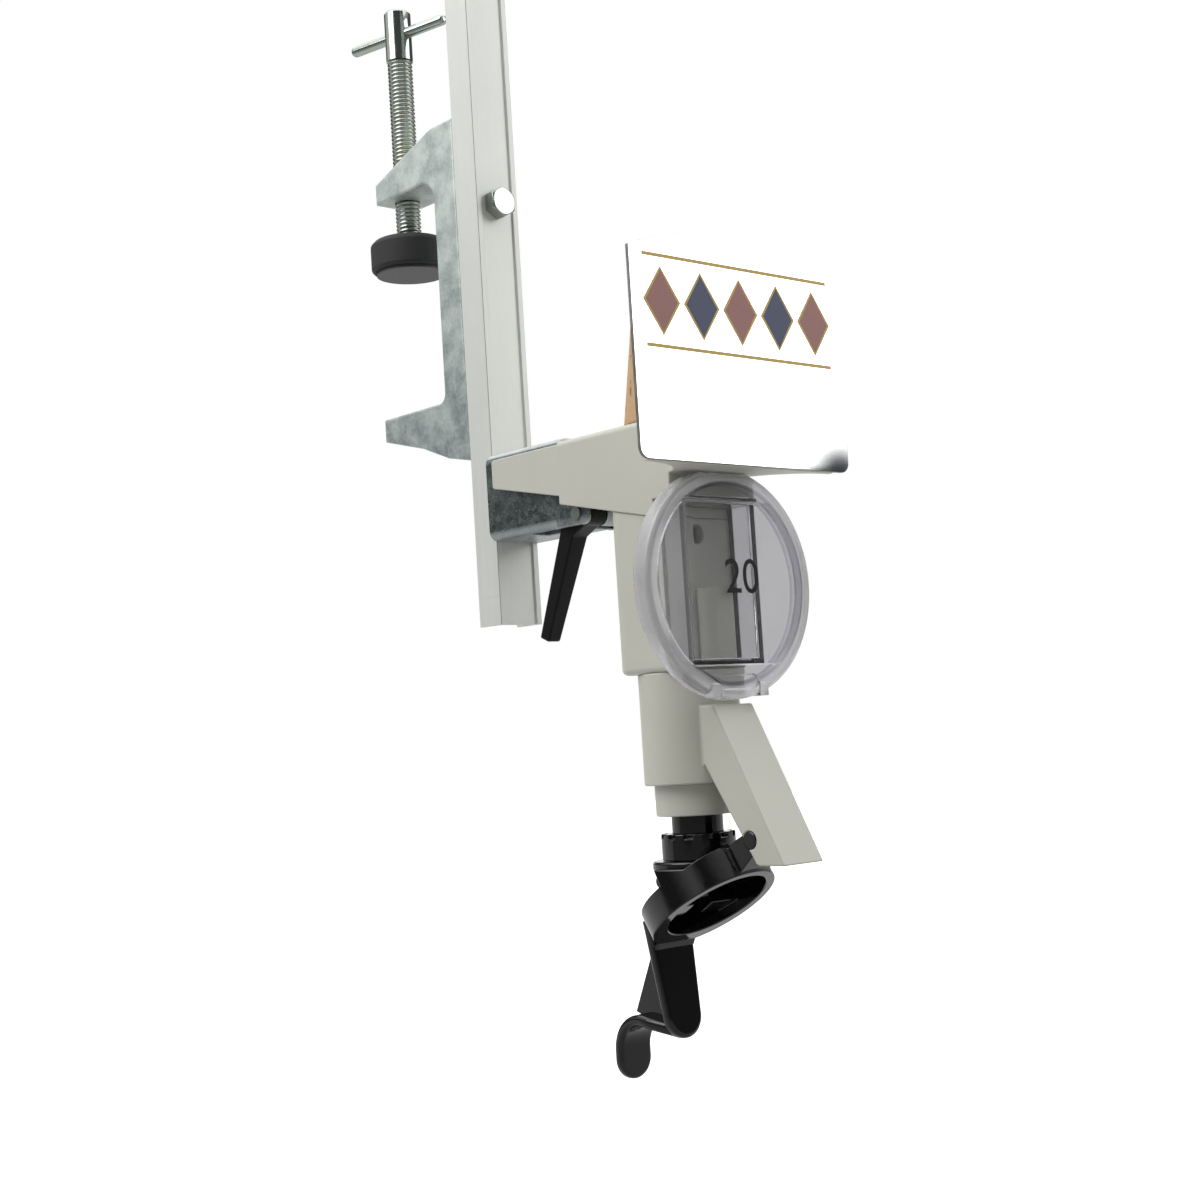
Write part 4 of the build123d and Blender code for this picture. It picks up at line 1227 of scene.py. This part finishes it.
@dataclass
class MeasuringChamber(Assembly):
    """The housing, the clear chamber in front of it, and what shows inside."""

    housing_edge: float = 0.30 * MM
    chamber_edge: float = 0.25 * MM
    figures: str = "20"
    figure_height: float = 8.9 * MM
    figure_across: float = 5.63 * MM
    figure_level: float = -63.5 * MM
    well_side: float = 11.9 * MM
    well_front: float = -126.2 * MM
    well_least_height: float = 20.0 * MM
    well_radius: float = 2.2 * MM
    well_steps: int = 8
    face_y: float = -127.7 * MM
    ink: float = 0.04 * MM

    def number(self) -> None:
        """Prints the plain number on the chamber's face."""
        text = bpy.data.curves.new("measure_number", "FONT")
        text.body = self.figures
        text.align_x = "CENTER"
        text.align_y = "CENTER"
        text.extrude = self.ink / self.figure_height / 2
        holder = placed("measure_holder", text)
        bpy.context.view_layer.update()
        mesh = bpy.data.meshes.new_from_object(holder)
        bpy.data.objects.remove(holder)
        shape = bmesh.new()
        shape.from_mesh(mesh)
        heights = [corner.co.y for corner in shape.verts]
        size = Matrix.Scale(self.figure_height / (max(heights) - min(heights)), 4)
        place = Matrix.Translation((self.figure_across, self.face_y - self.ink / 2, self.figure_level))
        bmesh.ops.transform(shape, matrix=place @ UPRIGHT @ size, verts=shape.verts[:])
        self.piece("measure_number", shape, "stand", [Look.DIGIT], "black_satin")

    def vessel(self) -> Shape:
        """The clear moulding with its well's upright front corners rounded.

        Returns:
            A closed shape.
        """
        shape = self.merged("chamber")
        corners = []
        for edge in shape.edges:
            middle = (edge.verts[0].co + edge.verts[1].co) / 2
            upright = abs(edge.verts[0].co.z - edge.verts[1].co.z) > self.well_least_height
            at_side = abs(abs(middle.x) - self.well_side) < NEAR
            if upright and at_side and abs(middle.y - self.well_front) < NEAR:
                corners.append(edge)
        round_off(shape, corners, self.well_radius, self.well_steps)
        log.info("rounded %d corners of the well", len(corners))
        return shape

    def build(self) -> None:
        """Softens the housing and the chamber, dresses the rest and prints the number."""
        self.soften("housing", "stand", Look.GREY, "grey_plastic", self.housing_edge)
        self.soften("chamber", "stand", Look.CLEAR, "clear_plastic", self.chamber_edge, shape=self.vessel())
        self.dress(Look.GREY, "standpipe")
        self.dress(Look.SEAL, "chamber_gasket")
        self.number()


@dataclass
class ValveTube(Assembly):
    """The lower tube with its strut and bush, and the spring inside."""

    tube_edge: float = 0.42 * MM
    bush_edge: float = 0.25 * MM
    wire: float = 1.5 * MM
    coils: float = 6.0
    coil_facets: int = 24
    wire_facets: int = 10
    lift: float = 4.4 * MM

    def spring(self) -> None:
        """Winds the return spring."""
        low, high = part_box("valve_spring")
        centre = (low + high) / 2
        radius = (high.x - low.x - self.wire) / 2
        rise = high.z - low.z - self.wire
        steps = round(self.coils * self.coil_facets)
        shape = bmesh.new()
        place = Matrix.Translation((radius, centre.y, low.z + self.wire / 2)) @ UPRIGHT
        made = bmesh.ops.create_circle(shape, segments=self.wire_facets, radius=self.wire / 2, matrix=place)
        ring = list({edge for corner in made["verts"] for edge in corner.link_edges})
        bmesh.ops.spin(
            shape, geom=made["verts"] + ring, cent=(0, centre.y, 0), axis=(0, 0, 1),
            dvec=(0, 0, rise / steps), angle=2 * math.pi * self.coils, steps=steps,
        )
        merge(shape)
        closed_loops(shape)
        spring = self.piece("wound_spring", shape, "stand", [Look.ZINC], "zinc")
        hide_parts("valve_spring")
        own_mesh(spring)

    def build(self) -> None:
        """Softens the tube and the bush, winds the spring and dresses the rest."""
        self.soften("valve_tube", "stand", Look.GREY, "grey_plastic", self.tube_edge)
        self.soften("tube_bush", "stand", Look.GREY, "grey_plastic", self.bush_edge)
        self.spring()
        self.dress(Look.SEAL, "stem_seal", "upper_rod_seal", "lower_rod_seal")
        self.dress(Look.ZINC, "valve_rod", "spring_washer")


@dataclass
class PourLever(Assembly):
    """The nozzle, its collar and the push lever."""

    lever_edge: float = 0.30 * MM
    nozzle_edge: float = 0.25 * MM
    rim_middle: Point = (0.0, -115.3 * MM, -147.3 * MM)
    rim_angle: float = 31.2
    skirt_reach: float = 18.9 * MM
    roof_half_width: float = 13.3 * MM
    roof_reach: float = 15.1 * MM
    roof_height: float = 7.6 * MM
    roof_thickness: float = 1.2 * MM
    roof_inner_share: float = 0.52
    roof_steps: int = 32
    tab_top: Point = (0.0, -97.2 * MM, -150.1 * MM)
    tab_end: Point = (0.0, -101.7 * MM, -181.0 * MM)
    tab_top_half_width: float = 7.8 * MM
    tab_half_width: float = 6.0 * MM
    tab_side_rise: float = 2.0 * MM
    tab_side_length: float = 4.0 * MM
    tab_side_steepness: float = 0.95
    tab_thickness: float = 3.2 * MM
    tail_root: Point = (0.0, -101.7 * MM, -178.9 * MM)
    tail_crest: Point = (0.0, -90.8 * MM, -176.9 * MM)
    tail_half_width: float = 5.6 * MM
    tail_root_half_width: float = 3.6 * MM
    tail_thickness: float = 3.0 * MM
    bend_radius: float = 8.4 * MM
    bend_angle: float = 100.0
    tail_tip: float = -193.28 * MM
    web_foot: Point = (0.0, -85.3 * MM, -175.1 * MM)
    web_thickness: float = 4.0 * MM
    shoulder_outline: tuple[Point, ...] = (
        (0.0, -100.95 * MM, -155.75 * MM), (0.0, -98.6 * MM, -156.5 * MM),
        (0.0, -98.6 * MM, -157.8 * MM), (0.0, -99.93 * MM, -157.8 * MM),
    )
    shoulder_width: float = 13.6 * MM
    grip_radius: float = 1.15 * MM
    grip_steps: int = 5
    root_steps: int = 6
    bend_steps: int = 20
    end_steps: int = 24

    def strip(self, stations: list[Station], thickness: float) -> Shape:
        """A moulded strip with rounded edges and a round end.

        Args:
            stations: Its middle, direction and half width, step by step.
            thickness: Its thickness.

        Returns:
            A closed shape.
        """
        last_width = stations[-1][2]
        places = []
        for middle, way, half_width in stations:
            turn = Matrix((ACROSS, way.cross(ACROSS), way)).transposed().to_4x4()
            places.append(Matrix.Translation(middle) @ turn @ stretched(half_width / last_width, 1.0, 1.0))
        shape = bmesh.new()
        size = stretched(last_width, thickness / 2, 1.0)
        bmesh.ops.create_grid(shape, x_segments=2, y_segments=1, size=1.0, matrix=size)
        corners = [corner for corner in shape.verts if abs(corner.co.x) > last_width / 2]
        round_off(shape, corners, self.grip_radius, self.grip_steps, "VERTICES")
        halves = [edge for edge in shape.edges if len(edge.link_faces) == 2]
        bmesh.ops.dissolve_edges(shape, edges=halves, use_verts=False)
        front = shape.faces[:][0]
        bmesh.ops.transform(shape, matrix=places[0], verts=shape.verts[:])
        for before, after in zip(places, places[1:]):
            grown = bmesh.ops.extrude_face_region(shape, geom=[front], use_keep_orig=before is places[0])
            front = next(item for item in grown["geom"] if isinstance(item, bmesh.types.BMFace))
            bmesh.ops.transform(shape, matrix=after @ before.inverted(), verts=front.verts[:])
        self.round_end(shape, front, stations[-1], places[-1])
        merge(shape)
        turn_outwards(shape)
        return shape

    def round_end(self, shape: Shape, front: bmesh.types.BMFace, station: Station, place: Matrix) -> None:
        """Closes a strip by half a turn of its last section.

        Args:
            shape: The strip.
            front: The last section's face, which goes.
            station: The last section's middle, direction and half width.
            place: The last section's matrix.
        """
        middle, way, _ = station
        inside = place.inverted()
        ends = [end for end in front.verts if (inside @ end.co).x > -MERGE_DISTANCE]
        half = [edge for edge in front.edges if all(end in ends for end in edge.verts)]
        bmesh.ops.delete(shape, geom=[front], context="FACES_ONLY")
        bmesh.ops.spin(
            shape, geom=ends + half, cent=middle, axis=way.cross(ACROSS), dvec=(0, 0, 0), angle=-math.pi,
            steps=self.end_steps,
        )

    def tab(self) -> Shape:
        """The tab, which narrows downwards to its round end.

        Returns:
            A closed shape.
        """
        top, end = Vector(self.tab_top), Vector(self.tab_end)
        way = (end - top).normalized()
        low = end - self.tab_half_width * way
        stations = [(top, way, self.tab_top_half_width), (low, way, self.tab_half_width)]
        return self.strip(stations, self.tab_thickness)

    def tail(self) -> Shape:
        """The tail, which leaves the tab's round end narrow, widens, and curls down.

        Returns:
            A closed shape.
        """
        root, crest = Vector(self.tail_root), Vector(self.tail_crest)
        way = (crest - root).normalized()
        widening = self.tail_half_width - self.tail_root_half_width
        stations = []
        for step in range(self.root_steps):
            share = step / self.root_steps
            width = self.tail_root_half_width + widening * math.sin(share * math.pi / 2)
            stations.append((root.lerp(crest, share), way, width))
        centre = crest + self.bend_radius * Vector((0.0, way.z, -way.y))
        for step in range(self.bend_steps + 1):
            turn = Matrix.Rotation(-math.radians(self.bend_angle) * step / self.bend_steps, 3, "X")
            stations.append((centre + turn @ (crest - centre), turn @ way, self.tail_half_width))
        end, way, width = stations[-1]
        stations.append((end + (end.z - self.tail_tip - self.tail_half_width) * way, way, width))
        return self.strip(stations, self.tail_thickness)

    def prism(self, outline: tuple[Point, ...], thickness: float) -> Shape:
        """A flat plate square to X.

        Args:
            outline: Its corners at X = 0, in turn.
            thickness: Its thickness.

        Returns:
            A closed shape.
        """
        shape = bmesh.new()
        side = thickness / 2 * ACROSS
        shape.faces.new([shape.verts.new(Vector(point) - side) for point in outline])
        thicken(shape, 2 * side)
        return shape

    def web(self) -> Shape:
        """The web between the tab's back and the tail's crest."""
        outline = (self.tab_top, self.web_foot, self.tail_crest, self.tail_root)
        return self.prism(outline, self.web_thickness)

    def shoulder(self) -> Shape:
        """The slanted shoulder between the rim's underside and the tab's front."""
        return self.prism(self.shoulder_outline, self.shoulder_width)

    def beside_tab(self, edge: bmesh.types.BMEdge) -> bool:
        """Whether an edge runs down one of the tab's sides.

        Args:
            edge: An edge of the lever.

        Returns:
            True for a long, steep edge at the tab's side.
        """
        inner = self.tab_half_width - NEAR
        outer = self.tab_top_half_width + NEAR
        highest = self.tab_top[2] + self.tab_side_rise
        span = edge.verts[0].co - edge.verts[1].co
        near = all(inner < abs(end.co.x) < outer and end.co.z < highest for end in edge.verts)
        steep = abs(span.z) > self.tab_side_steepness * span.length
        return near and steep and span.length > self.tab_side_length

    def roof(self) -> Shape:
        """The half roof inside the skirt, behind the spout.

        Returns:
            A closed shape.
        """
        shape = bmesh.new()
        middle = (1.0 + self.roof_inner_share) / 2
        size = stretched(1.0 - self.roof_inner_share, self.roof_thickness, 1.0)
        place = Matrix.Translation((middle, 0.0, self.roof_height - self.roof_thickness / 2))
        bmesh.ops.create_grid(shape, x_segments=1, y_segments=1, size=0.5, matrix=place @ UPRIGHT @ size)
        bmesh.ops.spin(
            shape, geom=everything(shape), cent=(0, 0, 0), axis=(0, 0, 1), dvec=(0, 0, 0), angle=math.pi,
            steps=self.roof_steps,
        )
        slope = Matrix.Rotation(-math.radians(self.rim_angle), 4, "X")
        place = Matrix.Translation(self.rim_middle) @ slope
        size = stretched(self.roof_half_width, self.roof_reach, 1.0)
        bmesh.ops.transform(shape, matrix=place @ size, verts=shape.verts[:])
        closed_loops(shape)
        return shape

    def collar(self) -> Shape:
        """The lever above its rim, cut from the solid.

        Returns:
            A closed shape.
        """
        shape = self.merged("push_lever")
        sides = [edge for edge in shape.edges if self.beside_tab(edge)]
        round_off(shape, sides, self.grip_radius, self.grip_steps)
        log.info("rounded %d sides of the tab", len(sides))
        turn = math.radians(self.rim_angle)
        backwards = Vector((0.0, math.cos(turn), -math.sin(turn)))
        below = Vector((0.0, -math.sin(turn), -math.cos(turn)))
        for reach, way in ((0.0, below), (self.skirt_reach, backwards)):
            cut(shape, Vector(self.rim_middle) + (reach + CUT_GAP) * way, way)
            closed_loops(shape)
        return shape

    def build(self) -> None:
        """Softens all three black mouldings."""
        lever = joined([self.collar(), self.tab(), self.tail(), self.web(), self.shoulder(), self.roof()])
        self.soften("push_lever", "lever", Look.GLOSS, "black_gloss", self.lever_edge, shape=lever)
        self.soften("nozzle", "valve", Look.GLOSS, "black_gloss", self.nozzle_edge)
        self.soften("nozzle_collar", "valve", Look.GLOSS, "black_gloss", self.nozzle_edge)


@dataclass(frozen=True)
class Softbox:
    """A soft area light.

    The radiance is what its face shows, where 1 is white.
    """

    name: str
    place: Point
    aim: Point
    width: float
    height: float
    radiance: float

    def build(self) -> None:
        """Adds the light."""
        data = bpy.data.lights.new(self.name, "AREA")
        data.shape = "RECTANGLE"
        data.size, data.size_y = self.width, self.height
        data.energy = self.radiance * math.pi * self.width * self.height
        made = placed(self.name, data)
        made.location = self.place
        made.rotation_mode = "QUATERNION"
        made.rotation_quaternion = (Vector(self.aim) - Vector(self.place)).to_track_quat("-Z", "Y")


@dataclass
class Studio:
    """The pale floor, the soft light and the camera."""

    boxes: tuple[Softbox, ...] = (
        Softbox("top_box", (0.05, 0.15, 1.0), (0.0, -0.10, -0.03), width=1.6, height=1.6, radiance=1.0),
        Softbox("left_box", (-0.50, 0.05, 0.45), (0.0, -0.06, 0.0), width=0.5, height=0.5, radiance=3.6),
        Softbox(
            "right_panel", (0.84, -0.90, 0.56), (0.0, -0.10, -0.03), width=0.80, height=0.92, radiance=3.0,
        ),
    )
    view_turn: float = 41.6
    view_rise: float = 4.3
    view_roll: float = -3.58
    view_place: Point = (-0.32933, -0.45133, -0.10184)
    lens: float = 54.6
    sensor: float = 36.0
    shift: float = -0.00333
    nearest: float = 0.01
    dark: float = 0.10
    bright: float = 0.9
    backdrop: float = 0.47
    wall_edge: Span = (0.86, 0.95)
    side_turn: float = 12.0
    side_edge: Span = (0.55, 0.80)
    side_rise: Span = (0.10, 0.38)
    above_edge: Span = (0.55, 0.85)
    floor_level: float = -0.30
    floor_radius: float = 5.0
    floor_facets: int = 96
    floor_middle: float = -0.11
    floor_edge: Span = (-0.02, 0.16)
    floor_grey: Colour = (0.35, 0.35, 0.35)
    floor_roughness: float = 0.9
    floor_strength: float = 1.25
    glow: float = 0.72
    glint: float = 0.45
    card_corner: Point = (35.5 * MM, -138.9 * MM, -35.5 * MM)
    card_way: Point = (0.7495, -0.6477, 0.1358)
    card_distance: float = 0.6
    card_radius: float = 0.030
    card_core: float = 0.003
    card_facets: int = 32
    card_colour: Colour = (0.02, 0.025, 0.03)
    card_roughness: float = 0.9

    def aim(self) -> Vector:
        """The direction that the camera looks in."""
        turn, rise = math.radians(self.view_turn), math.radians(self.view_rise)
        return Vector((math.sin(turn) * math.cos(rise), math.cos(turn) * math.cos(rise), math.sin(rise)))

    def camera(self) -> None:
        """Sets the camera at the photograph's angle."""
        aim = self.aim()
        right = aim.cross(UP).normalized()
        up = right.cross(aim)
        roll = math.radians(self.view_roll)
        level = math.cos(roll) * right + math.sin(roll) * up
        tall = math.cos(roll) * up - math.sin(roll) * right
        turn = Matrix((level, tall, -aim)).transposed()
        data = bpy.data.cameras.new("camera")
        data.lens = self.lens
        data.sensor_width = self.sensor
        data.shift_x = self.shift
        data.clip_start = self.nearest
        made = placed("camera", data)
        made.matrix_world = Matrix.Translation(self.view_place) @ turn.to_4x4()
        bpy.context.scene.camera = made

    def surroundings(self) -> None:
        """White to the camera, a grey wall through clear plastic, else a dim room with a bright left side."""
        world = bpy.data.worlds.new("studio")
        world.use_nodes = True
        bpy.context.scene.world = world
        graph = Graph(world.node_tree)
        towards = graph.node("ShaderNodeTexCoord").outputs["Generated"]
        aim = self.aim()
        turn = Matrix.Rotation(math.radians(self.side_turn), 3, "Z")
        left = turn @ Vector((-aim.y, aim.x, 0.0)).normalized()
        rise = graph.measure("DOT_PRODUCT", towards, UP)
        wall = graph.measure("DOT_PRODUCT", towards, aim).rising(*self.wall_edge)
        wall = wall * (1.0 - (1.0 - self.backdrop) * graph.ray("Is Transmission Ray"))
        side = graph.measure("DOT_PRODUCT", towards, left).rising(*self.side_edge)
        side = side * rise.rising(*self.side_rise)
        room = self.dark + (self.bright - self.dark) * side + wall + rise.rising(*self.above_edge)
        strength = room + graph.ray("Is Camera Ray") * (1.0 - room)
        back = graph.node("ShaderNodeBackground", {}, {"Color": WHITE, "Strength": strength})
        graph.node("ShaderNodeOutputWorld", {}, {"Surface": back.outputs[0]})

    def floor(self) -> None:
        """A round pale floor, white to the camera, that lights the object from behind and below."""
        shape = bmesh.new()
        place = Matrix.Translation((0.0, 0.0, self.floor_level))
        bmesh.ops.create_circle(
            shape, cap_ends=True, segments=self.floor_facets, radius=self.floor_radius, matrix=place,
        )
        material, graph = new_material("pale_floor")
        across, along, _ = graph.axes()
        aim = self.aim()
        far = (aim.x * across + aim.y * (along - self.floor_middle)).rising(*self.floor_edge)
        dimmed = 1.0 - (1.0 - self.glint) * graph.ray("Is Glossy Ray")
        dimmed = dimmed * (1.0 - (1.0 - self.backdrop) * graph.ray("Is Transmission Ray"))
        glow = graph.mix(BLACK, shade(WHITE, self.glow), far * dimmed)
        graph.surface({
            "Base Color": self.floor_grey,
            "Roughness": self.floor_roughness,
            "Emission Color": graph.mix(glow, WHITE, graph.ray("Is Camera Ray")),
            "Emission Strength": self.floor_strength,
        })
        made = new_object("pale_floor", shape, [material])

    def flag(self) -> None:
        """A small soft-edged dark card whose reflection darkens the plate's lower right corner."""
        shape = bmesh.new()
        towards = Vector(self.card_way)
        middle = Vector(self.card_corner) + self.card_distance * towards
        place = Matrix.Translation(middle) @ towards.to_track_quat("Z", "Y").to_matrix().to_4x4()
        bmesh.ops.create_circle(
            shape, cap_ends=True, segments=self.card_facets, radius=self.card_radius, matrix=place,
        )
        material, graph = new_material("dark_card")
        fade = graph.measure("DISTANCE", graph.place(), middle).rising(self.card_core, self.card_radius)
        dark = graph.shader({"Base Color": self.card_colour, "Roughness": self.card_roughness})
        graph.end(graph.blend(dark, graph.clear(WHITE), fade))
        made = new_object("dark_card", shape, [material])
        made.visible_camera = made.visible_diffuse = made.visible_shadow = False

    def build(self) -> None:
        """Sets up the whole studio."""
        bpy.context.scene.view_settings.view_transform = "Standard"
        self.camera()
        self.surroundings()
        self.floor()
        self.flag()
        for box in self.boxes:
            box.build()


def main() -> None:
    """Builds the studio and every sub-assembly."""
    logging.basicConfig(level=logging.INFO, format="%(name)s: %(message)s")
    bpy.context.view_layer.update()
    for assembly in (
        Studio(), RailAndClamp(), ClampScrew(), CamBracket(), ArmAndCork(), SignPlate(),
        MeasuringChamber(), ValveTube(), PourLever(),
    ):
        assembly.build()


if __name__ == "__main__":
    main()
